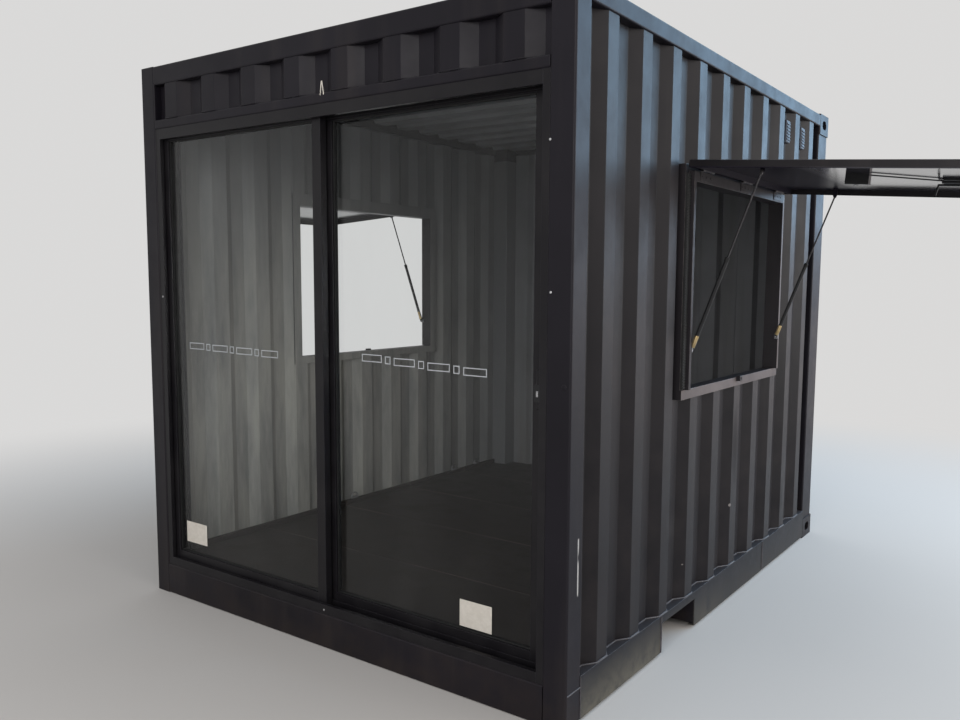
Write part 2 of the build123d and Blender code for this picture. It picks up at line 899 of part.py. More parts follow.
track_end = light_half + track_depth
head_web = light_top + door_head_height - door_web
sash_front = second_track + (track_width - sash_thickness) / 2
sash_pane(
    "fixed_leaf",
    -track_end,
    fixed_stile_offset,
    fixed_stile_width,
    meeting_stile_width,
    track_centres[0],
    track_floor,
    head_web,
)
lock_edge = track_end - sash_stop_gap
sash_pane(
    "sliding_leaf",
    sliding_stile_offset,
    lock_edge,
    meeting_stile_width,
    lock_stile_width,
    track_centres[1],
    track_floor + track_rib_height + sash_rib_gap,
    head_web - sash_top_gap,
)

# Pull handle on the front of the lock stile
handle_x = lock_edge - handle_from_edge
with BuildPart() as door_handle:
    with BuildSketch(Plane.XZ.offset(-sash_front)):
        with Locations((handle_x, handle_height)):
            SlotOverall(handle_length, handle_width, rotation=90)
    extrude(amount=handle_plate)
    grip_half = handle_length / 2 - handle_width / 2
    with BuildSketch(Plane.YZ.offset(handle_x - handle_bar)):
        with Locations((sash_front, handle_height)):
            Rectangle(handle_reach, 2 * grip_half, align=(Align.MAX, Align.CENTER))
            with Locations((-handle_plate, 0)):
                Rectangle(
                    handle_reach - handle_plate - handle_bar,
                    2 * (grip_half - handle_bar),
                    align=(Align.MAX, Align.CENTER),
                    mode=Mode.SUBTRACT,
                )
    extrude(amount=2 * handle_bar)
    fillet(door_handle.faces().sort_by(Axis.Y)[0].edges(), handle_plate)
finish(door_handle, "door_handle")

# Vent covers in the rearmost valleys under each top rail
side_pitch = side_crest + 2 * side_slope + side_valley
valley_face = side_face - side_depth
first_valley = front + side_first_crest + side_crest + side_slope + side_valley / 2
valley_count = int((casting_front - first_valley) // side_pitch)
vent_places = [first_valley + side_pitch * (valley_count - 1 - n) for n in range(vent_count)]
with BuildPart() as wall_vents:
    for place in vent_places:
        with BuildSketch(Plane.YZ.offset(valley_face)):
            with Locations((place, upper_rail_low - vent_top_drop - vent_height / 2)):
                Rectangle(vent_width, vent_height)
        extrude(amount=vent_depth)
    chamfer(wall_vents.faces().group_by(Axis.X)[-1].edges(), vent_edge)
    mirror(about=Plane.YZ)
finish(wall_vents, "wall_vents")

# Lashing rings at the floor's edge
ring_x = half_width - bottom_rail_seat - ring_bar_gap
ring_places = [front + setback for setback in ring_setbacks]
with BuildPart() as lashing_rings:
    for place in ring_places:
        with BuildSketch(Plane.XY.offset(floor_top)):
            with Locations((ring_x, place)):
                Rectangle(ring_clip, 2 * ring_radius)
        extrude(amount=ring_clip)
        with BuildSketch(Plane.YZ.offset(ring_x - ring_bar)):
            with Locations((place, floor_top + ring_clip / 2)):
                Circle(ring_radius + ring_bar)
                Circle(ring_radius - ring_bar, mode=Mode.SUBTRACT)
                Rectangle(
                    2 * (ring_radius + ring_bar),
                    ring_radius + ring_bar,
                    align=(Align.CENTER, Align.MAX),
                    mode=Mode.SUBTRACT,
                )
        extrude(amount=2 * ring_bar)
    mirror(about=Plane.YZ)
finish(lashing_rings, "lashing_rings")
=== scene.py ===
# Steel container cabin with a glazed sliding front and two side hatches
from math import cos, pi, radians, sin

import bpy
from mathutils import Matrix, Vector


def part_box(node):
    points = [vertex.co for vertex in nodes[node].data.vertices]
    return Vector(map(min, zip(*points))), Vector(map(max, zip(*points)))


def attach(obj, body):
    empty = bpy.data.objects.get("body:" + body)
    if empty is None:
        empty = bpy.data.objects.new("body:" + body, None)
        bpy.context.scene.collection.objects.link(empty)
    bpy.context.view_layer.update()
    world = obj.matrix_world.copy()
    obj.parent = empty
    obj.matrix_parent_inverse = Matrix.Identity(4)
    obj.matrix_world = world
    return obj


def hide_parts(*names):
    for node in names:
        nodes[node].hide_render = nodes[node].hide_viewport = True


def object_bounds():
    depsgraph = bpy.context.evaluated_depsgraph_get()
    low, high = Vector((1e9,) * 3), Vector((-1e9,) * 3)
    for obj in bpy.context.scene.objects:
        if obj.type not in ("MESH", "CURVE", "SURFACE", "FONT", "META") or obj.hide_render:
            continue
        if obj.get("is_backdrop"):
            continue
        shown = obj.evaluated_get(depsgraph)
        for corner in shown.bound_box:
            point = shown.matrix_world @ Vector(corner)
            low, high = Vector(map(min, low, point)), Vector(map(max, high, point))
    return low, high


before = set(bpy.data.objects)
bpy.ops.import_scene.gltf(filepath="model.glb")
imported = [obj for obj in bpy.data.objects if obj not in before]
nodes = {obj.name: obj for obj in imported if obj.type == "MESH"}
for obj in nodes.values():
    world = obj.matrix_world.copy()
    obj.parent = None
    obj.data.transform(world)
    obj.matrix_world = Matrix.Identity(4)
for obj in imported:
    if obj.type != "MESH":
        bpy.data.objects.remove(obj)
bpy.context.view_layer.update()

sides = {"right": 1, "left": -1}


# Shader helpers

def feed(tree, node, inputs):
    # each input is a plain value, or the socket that is linked to it
    for key, value in inputs.items():
        if isinstance(value, bpy.types.NodeSocket):
            tree.links.new(value, node.inputs[key])
        else:
            node.inputs[key].default_value = value


def newMaterial(name, inputs):
    material = bpy.data.materials.new(name)
    material.use_nodes = True
    tree = material.node_tree
    shader = tree.nodes["Principled BSDF"]
    feed(tree, shader, inputs)
    return material, tree, shader


def addNode(tree, kind, where, inputs=None, **settings):
    node = tree.nodes.new(kind)
    node.location = where
    for key, value in settings.items():
        setattr(node, key, value)
    feed(tree, node, inputs or {})
    return node


def objectPlace(tree, where):
    return addNode(tree, "ShaderNodeTexCoord", where).outputs["Object"]


def objectNoise(tree, where, scale, detail, stretch=(1, 1, 1), rough=0.55):
    # noise in metres on object coordinates, stretched along an axis if asked
    x, y = where
    inputs = {"Vector": objectPlace(tree, (x - 400, y)), "Scale": stretch}
    stretched = addNode(tree, "ShaderNodeMapping", (x - 200, y), inputs).outputs["Vector"]
    inputs = {"Vector": stretched, "Scale": scale, "Detail": detail, "Roughness": rough}
    return addNode(tree, "ShaderNodeTexNoise", where, inputs).outputs["Fac"]


def rangeOf(tree, where, value, low, high, toLow=0.0, toHigh=1.0, change="LINEAR"):
    inputs = {"Value": value, "From Min": low, "From Max": high, "To Min": toLow, "To Max": toHigh}
    return addNode(tree, "ShaderNodeMapRange", where, inputs, interpolation_type=change).outputs["Result"]


def patchOf(tree, where, pattern, toLow=0.0, toHigh=1.0):
    # a pattern is a noise (scale, detail, stretch, roughness) and the range of it that shows
    noise, (low, high) = pattern
    return rangeOf(
        tree, where, objectNoise(tree, (where[0] - 200, where[1]), *noise), low, high, toLow, toHigh
    )


def mathOf(tree, where, operation, first, second=0):
    node = addNode(tree, "ShaderNodeMath", where, {0: first, 1: second}, operation=operation)
    return node.outputs["Value"]


def vectorOf(tree, where, operation, first, second=(0, 0, 0)):
    return addNode(tree, "ShaderNodeVectorMath", where, {0: first, 1: second}, operation=operation)


def mixColour(tree, where, factor, *ends):
    # the ends are sockets or plain colours
    first, second = ((*end, 1) if isinstance(end, tuple) else end for end in ends)
    node = addNode(tree, "ShaderNodeMix", where, {0: factor, 6: first, 7: second}, data_type="RGBA")
    return node.outputs[2]


def mixShaders(tree, where, factor, first, second):
    return addNode(tree, "ShaderNodeMixShader", where, {0: factor, 1: first, 2: second}).outputs["Shader"]


def coordinate(tree, where, axis):
    place = objectPlace(tree, (where[0] - 200, where[1]))
    return addNode(tree, "ShaderNodeSeparateXYZ", where, {"Vector": place}).outputs[axis]


def bandOf(tree, where, axis, low, high, soft):
    # 1 between low and high along an axis, fading to 0 over soft metres
    x, y = where
    value = coordinate(tree, where, axis)
    rise = rangeOf(tree, (x + 150, y), value, low - soft, low)
    fall = rangeOf(tree, (x + 150, y - 150), value, high, high + soft, 1, 0)
    return mathOf(tree, (x + 300, y), "MULTIPLY", rise, fall)


def spotOf(tree, where, centre, reach):
    # 1 at a place, fading to 0 at its reach along each axis
    x, y = where
    away = vectorOf(tree, (x - 400, y), "SUBTRACT", objectPlace(tree, (x - 600, y)), centre)
    scaled = vectorOf(tree, (x - 250, y), "DIVIDE", away.outputs["Vector"], reach)
    length = vectorOf(tree, (x - 100, y), "LENGTH", scaled.outputs["Vector"])
    return rangeOf(tree, where, length.outputs["Value"], 0, 1, 1, 0, "SMOOTHSTEP")


def roundedNormal(tree, radius):
    return addNode(tree, "ShaderNodeBevel", (-1300, -900), {"Radius": radius}, samples=6).outputs["Normal"]


paleEdgeTurn = (0.72, 0.93)  # cosine of the turn at which an edge is fully pale, and not at all


def edgeWearAndHighlight(tree, rounded):
    # 1 where the rounded normal turns away from the flat face's own
    flat = addNode(tree, "ShaderNodeNewGeometry", (-1300, -1100)).outputs["True Normal"]
    turn = vectorOf(tree, (-1100, -1000), "DOT_PRODUCT", rounded, flat).outputs["Value"]
    return rangeOf(tree, (-900, -1000), turn, *paleEdgeTurn, 1, 0)


def bumps(tree, shader, layers, normal=None):
    # layers are (height socket, depth in metres), laid over the rounded normal if given
    for index, (height, depth) in enumerate(layers):
        inputs = {"Strength": 1.0, "Distance": depth, "Height": height}
        if normal is not None:
            inputs["Normal"] = normal
        normal = addNode(tree, "ShaderNodeBump", (-700 + 200 * index, -700), inputs).outputs["Normal"]
    feed(tree, shader, {"Normal": normal})


# what all the paints share; level is how far up a face must look to begin taking the paler painted light
# from above, and to take it full
paintPattern = {
    "tone": ((1.7, 6), (0.35, 0.7)),
    "streak": ((9, 4, (1, 1, 0.06)), (0.52, 0.78)),
    "broken": ((30, 5), (0.35, 0.62)),
    "peel": (260, 2),
    "dents": (2.6, 2, (1, 1, 0.55)),
    "level": (0.6, 0.95),
    "chip": (0.2, 0.4),
    "dull": 0.14,
}


def makePaint(name, look):
    # sprayed paint on steel: tone, run-off streaks, a paler layer low down that is dust and on some looks
    # also painted light, up-facing faces paler as painted light from above, edges that are worn and on some
    # looks also painted highlight, soft dents
    material, tree, shader = newMaterial(name, {"Specular IOR Level": look["specular"]})
    tone = patchOf(tree, (-900, 500), paintPattern["tone"])
    streak = patchOf(tree, (-900, 250), paintPattern["streak"], 0, look["streak"])
    height = rangeOf(tree, (-900, 0), coordinate(tree, (-1100, 0), "Z"), *look["dustHeight"], 1, 0)
    patch = patchOf(tree, (-900, -200), look["dustPattern"])
    dust = mathOf(tree, (-700, -100), "MULTIPLY", height, patch)
    if "dustAlong" in look:
        near, far, least = look["dustAlong"]
        along = rangeOf(tree, (-900, -350), coordinate(tree, (-1100, -350), "Y"), near, far, 1, least)
        dust = mathOf(tree, (-600, -250), "MULTIPLY", dust, along)
    dust = mathOf(tree, (-550, -100), "MULTIPLY", dust, look["dust"])
    colour = mixColour(tree, (-500, 500), tone, look["base"], look["light"])
    colour = mixColour(tree, (-350, 350), streak, colour, look["streakColour"])
    colour = mixColour(tree, (-200, 200), dust, colour, look["dustColour"])
    # up-facing faces turn paler: painted light from above
    if "ledge" in look:
        normal = addNode(tree, "ShaderNodeNewGeometry", (-500, 800)).outputs["Normal"]
        upward = addNode(tree, "ShaderNodeSeparateXYZ", (-300, 800), {"Vector": normal}).outputs["Z"]
        ledge = rangeOf(tree, (-100, 800), upward, *paintPattern["level"], 0, look["ledge"])
        colour = mixColour(tree, (50, 600), ledge, colour, look["ledgeColour"])
    for index, (centre, reach) in enumerate(look.get("chips", ())):
        row = 1000 + 200 * index
        spot = rangeOf(tree, (-400, row), spotOf(tree, (-600, row), centre, reach), *paintPattern["chip"])
        colour = mixColour(tree, (-200, row), spot, colour, look["chipColour"])
    rounded = roundedNormal(tree, look["edge"])
    if look["wear"]:
        broken = patchOf(tree, (-700, -1200), paintPattern["broken"])
        worn = mathOf(tree, (-500, -1000), "MULTIPLY", edgeWearAndHighlight(tree, rounded), broken)
        worn = mathOf(tree, (-350, -1000), "MULTIPLY", worn, look["wear"])
        colour = mixColour(tree, (-50, 200), worn, colour, look["wearColour"])
    gloss = rangeOf(tree, (-350, -250), patch, 0, 1, look["rough"], look["rough"] + paintPattern["dull"])
    feed(tree, shader, {"Base Color": colour, "Roughness": gloss})
    layers = [
        (objectNoise(tree, (-1100, -500), *paintPattern["peel"]), look["peel"]),
        (objectNoise(tree, (-1100, -750), *paintPattern["dents"]), look["dents"]),
    ]
    for index, (centre, reach, depth) in enumerate(look.get("knocks", ())):
        layers.append((spotOf(tree, (-1100, -1400 - 200 * index), centre, reach), depth))
    bumps(tree, shader, layers, rounded)
    return material


charcoalLook = {
    "base": (0.0072, 0.0062, 0.0078),
    "light": (0.0122, 0.0104, 0.0122),
    "streakColour": (0.030, 0.025, 0.025),
    "streak": 0.5,
    # on the walls the warm paler layer reaching 1.5 m up is dust and also painted reflection of a warm
    # sunlit ground
    "dustColour": (0.042, 0.033, 0.031),
    "dust": 0.30,
    "dustHeight": (0.1, 1.5),
    "dustPattern": ((7, 8, (1, 1, 1), 0.7), (0.36, 0.72)),
    "rough": 0.36,
    "specular": 0.2,
    "peel": 0.00003,
    "dents": 0.005,
    "edge": 0.004,
    "wear": 0.0,
}
# knocks are (centre, reach, depth) of single dents in the right wall
# chips are (centre, reach) of bare spots on it
wallLook = {
    **charcoalLook,
    "knocks": [
        ((1.213, 0.150, 0.80), (0.2, 0.10, 0.26), 0.012),
        ((1.213, -0.584, 0.557), (0.2, 0.12, 0.10), -0.006),
        ((1.213, 0.916, 0.36), (0.2, 0.10, 0.12), 0.006),
    ],
    "chips": [
        ((1.213, -0.839, 0.633), (0.02, 0.009, 0.011)),
        ((1.213, -0.494, 0.3315), (0.02, 0.010, 0.007)),
        ((1.213, -0.564, 0.2465), (0.02, 0.007, 0.007)),
        ((1.213, 0.060, 0.486), (0.02, 0.014, 0.012)),
    ],
    "chipColour": (0.20, 0.18, 0.17),
}
frameLook = {
    **charcoalLook, "base": (0.0074, 0.0063, 0.0092), "light": (0.0120, 0.0103, 0.0146), "dents": 0.0006,
    "rough": 0.38, "specular": 0.17, "dust": 0.5, "dustColour": (0.034, 0.024, 0.018),
    "dustHeight": (0.04, 0.3), "edge": 0.003, "wear": 0.35, "wearColour": (0.10, 0.095, 0.09),
}
# the rails' paler warm layer, strongest low down at the front end, is dust and also painted light on that
# end; their up-facing faces are paler as painted light from above
railLook = {
    **frameLook, "base": (0.012, 0.012, 0.015), "light": (0.019, 0.019, 0.023), "dust": 0.85,
    "dustColour": (0.135, 0.120, 0.092), "dustHeight": (0.0, 0.17), "dustAlong": (-0.9, 0.1, 0.22),
    "dustPattern": ((16, 8, (1, 1, 1), 0.7), (0.2, 0.55)), "edge": 0.004, "wear": 0.8,
    "wearColour": (0.13, 0.125, 0.125), "ledge": 0.75, "ledgeColour": (0.040, 0.038, 0.042),
}
# the hatch frames' and hinges' edges are made very pale: worn paint and also painted highlight
hatchLook = {
    **frameLook, "base": (0.016, 0.014, 0.016), "light": (0.024, 0.021, 0.023), "wear": 0.9,
    "wearColour": (0.26, 0.23, 0.22),
}
# the hatches' sills and lips, painted pale as painted light falling on them from the right and from below
litLipLook = {
    **hatchLook, "base": (0.084, 0.068, 0.065), "light": (0.142, 0.118, 0.112), "streak": 0.3,
    "rough": 0.42, "wearColour": (0.34, 0.30, 0.28),
}
# vent covers and hoods, paler and bluer than the walls: painted sheen of the sky on them
ventSheenLook = {**frameLook, "base": (0.050, 0.056, 0.072), "light": (0.075, 0.082, 0.102)}
liningLook = {
    "base": (0.165, 0.165, 0.172),
    "light": (0.225, 0.225, 0.234),
    "streakColour": (0.12, 0.116, 0.112),
    "streak": 0.6,
    "dustColour": (0.14, 0.12, 0.10),
    "dust": 0.7,
    "dustHeight": (0.15, 1.3),
    "dustPattern": ((9, 8, (1, 1, 0.16), 0.7), (0.38, 0.75)),
    "rough": 0.5,
    "specular": 0.3,
    "peel": 0.00003,
    "dents": 0.004,
    "edge": 0.004,
    "wear": 0.0,
}
# the side walls' inside is darker at the top and the back and paler low down in front, as painted light
# coming in through the front glass and the hatches, laid on with the dust layer
sideLiningLook = {
    **liningLook, "base": (0.130, 0.130, 0.134), "light": (0.190, 0.190, 0.194),
    "streakColour": (0.10, 0.10, 0.10), "dustColour": (0.44, 0.42, 0.375), "dust": 0.85,
    "dustHeight": (1.0, 2.45), "dustAlong": (-0.2, 1.3, 0.15),
    "dustPattern": ((9, 8, (1, 1, 0.16), 0.7), (0.25, 0.6)),
}
wallPaint = makePaint("wallPaint", wallLook)
framePaint = makePaint("framePaint", frameLook)
railPaint = makePaint("railPaint", railLook)
hatchPaint = makePaint("hatchPaint", hatchLook)
lipPaint = makePaint("lipPaint", litLipLook)
liningPaint = makePaint("liningPaint", liningLook)
ventPaint = makePaint("ventPaint", ventSheenLook)
sideLining = makePaint("sideLining", sideLiningLook)
print("paints made")


def touchedUp(name, touch):
    # the frame's paint with another colour inside bands (low, high, soft) along the axes
    material = framePaint.copy()
    material.name = name
    tree = material.node_tree
    masks = []
    for row, (axis, band) in enumerate(touch["bands"].items()):
        masks.append(bandOf(tree, (-1300, 700 + 300 * row), axis, *band))
    if "pattern" in touch:
        masks.append(patchOf(tree, (-700, 1600), touch["pattern"]))
    mask = masks[0]
    for step, other in enumerate(masks[1:]):
        mask = mathOf(tree, (-500 + 150 * step, 1200), "MULTIPLY", mask, other)
    shader = tree.nodes["Principled BSDF"]
    painted = shader.inputs["Base Color"].links[0].from_socket
    feed(tree, shader, {"Base Color": mixColour(tree, (100, 500), mask, painted, touch["colour"])})
    return material


# one upright scrape to primer on the right front post's side face
scrape = {
    "bands": {"Y": (-1.4495, -1.4425, 0.0015), "Z": (0.484, 0.686, 0.006), "X": (1.2175, 1.3, 0.0015)},
    "pattern": ((90, 4, (1, 1, 0.12)), (0.36, 0.5)), "colour": (0.42, 0.40, 0.38),
}
# the rear posts' faces inside the room are pale like the lining
roomSide = {
    "bands": {"X": (-1.174, 1.174, 0.002), "Y": (1.0, 1.455, 0.002)}, "colour": (0.155, 0.155, 0.160),
}
scrapedPost = touchedUp("scrapedPost", scrape)
rearPost = touchedUp("rearPost", roomSide)

profileLook = {
    "dark": (0.0085, 0.0076, 0.0092), "light": (0.0160, 0.0148, 0.0160), "specular": 0.2,
    "smear": ((5, 6), (0.4, 0.75)), "rough": (0.36, 0.5), "grain": (900, 3), "peel": 0.00003,
    "edge": 0.0018, "wear": 0.7, "wearColour": (0.07, 0.066, 0.085),
}


def makeProfile(look):
    # fine-textured black powder coat on aluminium, duller where it has been handled
    material, tree, shader = newMaterial("blackAluminium", {"Specular IOR Level": look["specular"]})
    smear = patchOf(tree, (-700, 0), look["smear"])
    colour = mixColour(tree, (-400, 300), smear, look["dark"], look["light"])
    rounded = roundedNormal(tree, look["edge"])
    # pale bluish edges: worn coat and also painted highlight along the edges and tracks
    worn = mathOf(tree, (-350, -1000), "MULTIPLY", edgeWearAndHighlight(tree, rounded), look["wear"])
    colour = mixColour(tree, (-100, 300), worn, colour, look["wearColour"])
    gloss = rangeOf(tree, (-400, 0), smear, 0, 1, *look["rough"])
    feed(tree, shader, {"Base Color": colour, "Roughness": gloss})
    bumps(tree, shader, [(objectNoise(tree, (-900, 300), *look["grain"]), look["peel"])], rounded)
    return material


glassLook = {
    "tint": (0.88, 0.90, 0.90, 1), "bend": 1.25, "film": {"Color": (0.40, 0.39, 0.37, 1), "Roughness": 0.5},
    "smear": ((4, 7, (1, 1, 0.5), 0.7), (0.42, 0.85)), "cover": (0.002, 0.022),
}


def makeGlass(look):
    # clear float glass, dusted and smeared; daylight passes it freely
    material, tree, shader = newMaterial("clearGlass", {
        "Base Color": look["tint"], "Roughness": 0, "IOR": look["bend"], "Transmission Weight": 1,
    })
    film = addNode(tree, "ShaderNodeBsdfDiffuse", (0, -400), look["film"])
    clear = addNode(tree, "ShaderNodeBsdfTransparent", (200, -300), {"Color": look["tint"]})
    rays = addNode(tree, "ShaderNodeLightPath", (0, 400)).outputs
    passing = mathOf(tree, (200, 300), "MAXIMUM", rays["Is Shadow Ray"], rays["Is Diffuse Ray"])
    smear = patchOf(tree, (-300, -300), look["smear"], *look["cover"])
    dusty = mixShaders(tree, (200, 0), smear, shader.outputs["BSDF"], film.outputs["BSDF"])
    last = mixShaders(tree, (400, 0), passing, dusty, clear.outputs["BSDF"])
    feed(tree, tree.nodes["Material Output"], {"Surface": last})
    return material


# joints lie at twice the half sheet, counted from the offset
plywoodLook = {
    "dark": (0.0100, 0.0070, 0.0066), "light": (0.024, 0.017, 0.016), "specular": 0.25,
    "rough": (0.5, 0.75),
    "grain": (26, 9, (0.12, 1, 1), 0.7), "grainRange": (0.3, 0.7), "grainDepth": 0.0006,
    "scuff": ((3.5, 9, (1, 1, 1), 0.75), (0.5, 0.8)), "scuffed": 0.3, "scuffColour": (0.085, 0.072, 0.060),
    "offset": 8.05, "halfSheet": 0.30, "joint": (0.003, 0.008), "jointDepth": 0.002,
    "jointColour": (0.105, 0.080, 0.070), "broken": ((2.2, 5), (0.42, 0.6)), "least": 0.15,
}


def makePlywood(look):
    # dark stained plywood: long grain across the cabin, sheet joints, scuffs and dust
    material, tree, shader = newMaterial("floorPlywood", {"Specular IOR Level": look["specular"]})
    grain = objectNoise(tree, (-900, 500), *look["grain"])
    streak = rangeOf(tree, (-700, 500), grain, *look["grainRange"])
    scuff = patchOf(tree, (-700, 200), look["scuff"])
    scuffed = mathOf(tree, (-500, 150), "MULTIPLY", scuff, look["scuffed"])
    colour = mixColour(tree, (-500, 400), streak, look["dark"], look["light"])
    colour = mixColour(tree, (-300, 300), scuffed, colour, look["scuffColour"])
    step = mathOf(tree, (-700, -100), "ADD", coordinate(tree, (-900, -100), "Y"), look["offset"])
    step = mathOf(tree, (-550, -100), "PINGPONG", step, look["halfSheet"])
    joint = rangeOf(tree, (-400, -100), step, *look["joint"], 1, 0)
    broken = patchOf(tree, (-400, 50), look["broken"], look["least"], 1)
    worn = mathOf(tree, (-250, 50), "MULTIPLY", joint, broken)
    colour = mixColour(tree, (-100, 250), worn, colour, look["jointColour"])
    gloss = rangeOf(tree, (-300, -100), scuff, 0, 1, *look["rough"])
    feed(tree, shader, {"Base Color": colour, "Roughness": gloss})
    groove = mathOf(tree, (-300, -250), "MULTIPLY", joint, -1)
    bumps(tree, shader, [(grain, look["grainDepth"]), (groove, look["jointDepth"])])
    return material


metalLook = {
    "metal": 1.0, "specular": 0.5, "smear": ((60, 6), (0.35, 0.7)), "dull": 0.15, "grit": (240, 3),
    "peel": 0.00004, "edge": 0.0008,
}
softLook = {**metalLook, "metal": 0.0, "specular": 0.3}


def makeMetal(name, look, dark, light, rough):
    sockets = {"Metallic": look["metal"], "Specular IOR Level": look["specular"]}
    material, tree, shader = newMaterial(name, sockets)
    smear = patchOf(tree, (-700, 0), look["smear"])
    colour = mixColour(tree, (-400, 200), smear, dark, light)
    gloss = rangeOf(tree, (-400, -100), smear, 0, 1, rough, rough + look["dull"])
    feed(tree, shader, {"Base Color": colour, "Roughness": gloss})
    grit = objectNoise(tree, (-900, -300), *look["grit"])
    bumps(tree, shader, [(grit, look["peel"])], roundedNormal(tree, look["edge"]))
    return material


blackAluminium = makeProfile(profileLook)
clearGlass = makeGlass(glassLook)
floorPlywood = makePlywood(plywoodLook)
brightSteel = makeMetal("brightSteel", metalLook, (0.50, 0.50, 0.51), (0.66, 0.66, 0.67), 0.28)
dullZinc = makeMetal("dullZinc", metalLook, (0.30, 0.30, 0.31), (0.44, 0.44, 0.45), 0.42)
brass = makeMetal("brass", metalLook, (0.34, 0.25, 0.12), (0.50, 0.39, 0.22), 0.36)
strutBlack = makeMetal("strutBlack", softLook, (0.008, 0.008, 0.009), (0.014, 0.014, 0.015), 0.3)
rodGrey = makeMetal("rodGrey", metalLook, (0.035, 0.034, 0.036), (0.065, 0.062, 0.064), 0.3)
blackRubber = makeMetal("blackRubber", softLook, (0.010, 0.010, 0.010), (0.020, 0.020, 0.020), 0.6)
whiteLabel = makeMetal("whiteLabel", softLook, (0.66, 0.61, 0.53), (0.74, 0.69, 0.61), 0.5)
frostFilm = makeMetal("frostFilm", softLook, (0.40, 0.42, 0.43), (0.50, 0.52, 0.53), 0.6)
# near-black, for holes and keyways: painted shade
holeShadeLook = {**softLook, "specular": 0.05}
darkHole = makeMetal("darkHole", holeShadeLook, (0.002, 0.002, 0.002), (0.004, 0.004, 0.004), 0.5)
print("metals, glass and floor made")

# rough and specular go from the first to the second value between the two distances out
trayLook = {
    "dark": (0.014, 0.012, 0.018), "light": (0.026, 0.023, 0.032),
    "smear": ((3, 6, (1, 0.2, 1)), (0.35, 0.7)), "out": (1.60, 1.76), "rough": (0.34, 0.12),
    "specular": (0.05, 0.75), "plainSpecular": 0.5, "grit": (12, 3), "peel": 0.00006, "edge": 0.0008,
}


def makeTray(look):
    # the flaps' underside: dark satin paint, dull by the hinges and glossy where it is handled
    material, tree, shader = newMaterial("trayPaint", {"Specular IOR Level": look["plainSpecular"]})
    smear = patchOf(tree, (-700, 200), look["smear"])
    colour = mixColour(tree, (-400, 200), smear, look["dark"], look["light"])
    out = mathOf(tree, (-700, -100), "ABSOLUTE", coordinate(tree, (-900, -100), "X"))
    rough = rangeOf(tree, (-500, 0), out, *look["out"], *look["rough"])
    specular = rangeOf(tree, (-500, -250), out, *look["out"], *look["specular"])
    feed(tree, shader, {"Base Color": colour, "Roughness": rough, "Specular IOR Level": specular})
    grit = objectNoise(tree, (-900, -400), *look["grit"])
    bumps(tree, shader, [(grit, look["peel"])], roundedNormal(tree, look["edge"]))
    return material


trayPaint = makeTray(trayLook)

weldLook = {
    "dark": (0.042, 0.038, 0.041), "light": (0.088, 0.081, 0.085), "tone": ((20, 5), (0.3, 0.7)),
    "sockets": {"Roughness": 0.42, "Specular IOR Level": 0.3}, "ripple": (190, 2), "depth": 0.0012,
}


def makeWeld(look):
    # painted weld bead: ripples along its run and a light film of dust on top
    material, tree, shader = newMaterial("weldBead", look["sockets"])
    tone = patchOf(tree, (-700, 200), look["tone"])
    feed(tree, shader, {"Base Color": mixColour(tree, (-400, 200), tone, look["dark"], look["light"])})
    bumps(tree, shader, [(objectNoise(tree, (-900, -300), *look["ripple"]), look["depth"])])
    return material


weldBead = makeWeld(weldLook)


# Every CAD piece gets its finish; the sheets of the walls are dark outside and pale inside

def paintPlain(name, material):
    data = nodes[name].data
    data.materials.clear()
    data.materials.append(material)
    for polygon in data.polygons:
        polygon.material_index = 0


def paintFaces(name, material, chosen):
    # one more material, on the faces that chosen picks
    data = nodes[name].data
    data.materials.append(material)
    for polygon in data.polygons:
        if chosen(polygon):
            polygon.material_index = len(data.materials) - 1


# cosines of a face's angle to outward: from square it looks that way, and down to edgeOn it isn't inside
facing = {"square": 0.9, "edgeOn": -0.02}
# lips lie at least this far out and below the top, and those above the sill lie towards the rear
lips = {"least": 1.2305, "top": 2.0, "sill": 1.13, "rear": 0.3}


def paintTwoSided(name, outside, inside, outward):
    paintPlain(name, outside)
    paintFaces(name, inside, lambda polygon: polygon.normal.dot(outward) <= facing["edgeOn"])


def isLip(polygon, outward):
    place = polygon.center
    if place.z >= lips["top"] or (place.z >= lips["sill"] and place.y <= lips["rear"]):
        return False
    return polygon.normal.dot(outward) > facing["square"] and place.dot(outward) > lips["least"]


finishes = {
    "_glass": clearGlass,
    "door_": blackAluminium,
    "_leaf": blackAluminium,
    "strut_cylinders": strutBlack,
    "strut_rods": rodGrey,
    "strut_studs": dullZinc,
    "flap_locks": strutBlack,
    "flap_lining": trayPaint,
    "hatch_hinges": hatchPaint,
    "hatch_frame": hatchPaint,
    "bottom_rail": railPaint,
    "front_right_post": scrapedPost,
    "rear_posts": rearPost,
    "wall_vents": ventPaint,
    "floor": floorPlywood,
}
for name in sorted(nodes):
    paintPlain(name, next((finishes[key] for key in finishes if key in name), framePaint))
for side, sign in sides.items():
    outward = Vector((sign, 0, 0))
    for part in ("front", "rear", "above_hatch", "below_hatch"):
        paintTwoSided(f"{side}_wall_{part}", wallPaint, sideLining, outward)
    paintTwoSided(f"{side}_flap", wallPaint, trayPaint, Vector((0, 0, 1)))
    # the lips and sills take the pale painted light
    paintFaces(f"{side}_hatch_frame", lipPaint, lambda polygon: isLip(polygon, outward))
    paintFaces(
        f"{side}_hatch_frame", sideLining, lambda polygon: polygon.normal.dot(outward) < -facing["square"]
    )
paintTwoSided("rear_wall", wallPaint, liningPaint, Vector((0, 1, 0)))
paintTwoSided("roof_panel", wallPaint, liningPaint, Vector((0, 0, 1)))
print("CAD pieces finished")


# Modelling helpers

def startFresh():
    bpy.ops.object.select_all(action="DESELECT")


def settle(piece, name):
    # the piece's place goes into its mesh
    startFresh()
    piece.select_set(True)
    bpy.context.view_layer.objects.active = piece
    bpy.ops.object.transform_apply(location=True, rotation=True, scale=True)
    piece.name = name
    piece.data.name = name
    return piece


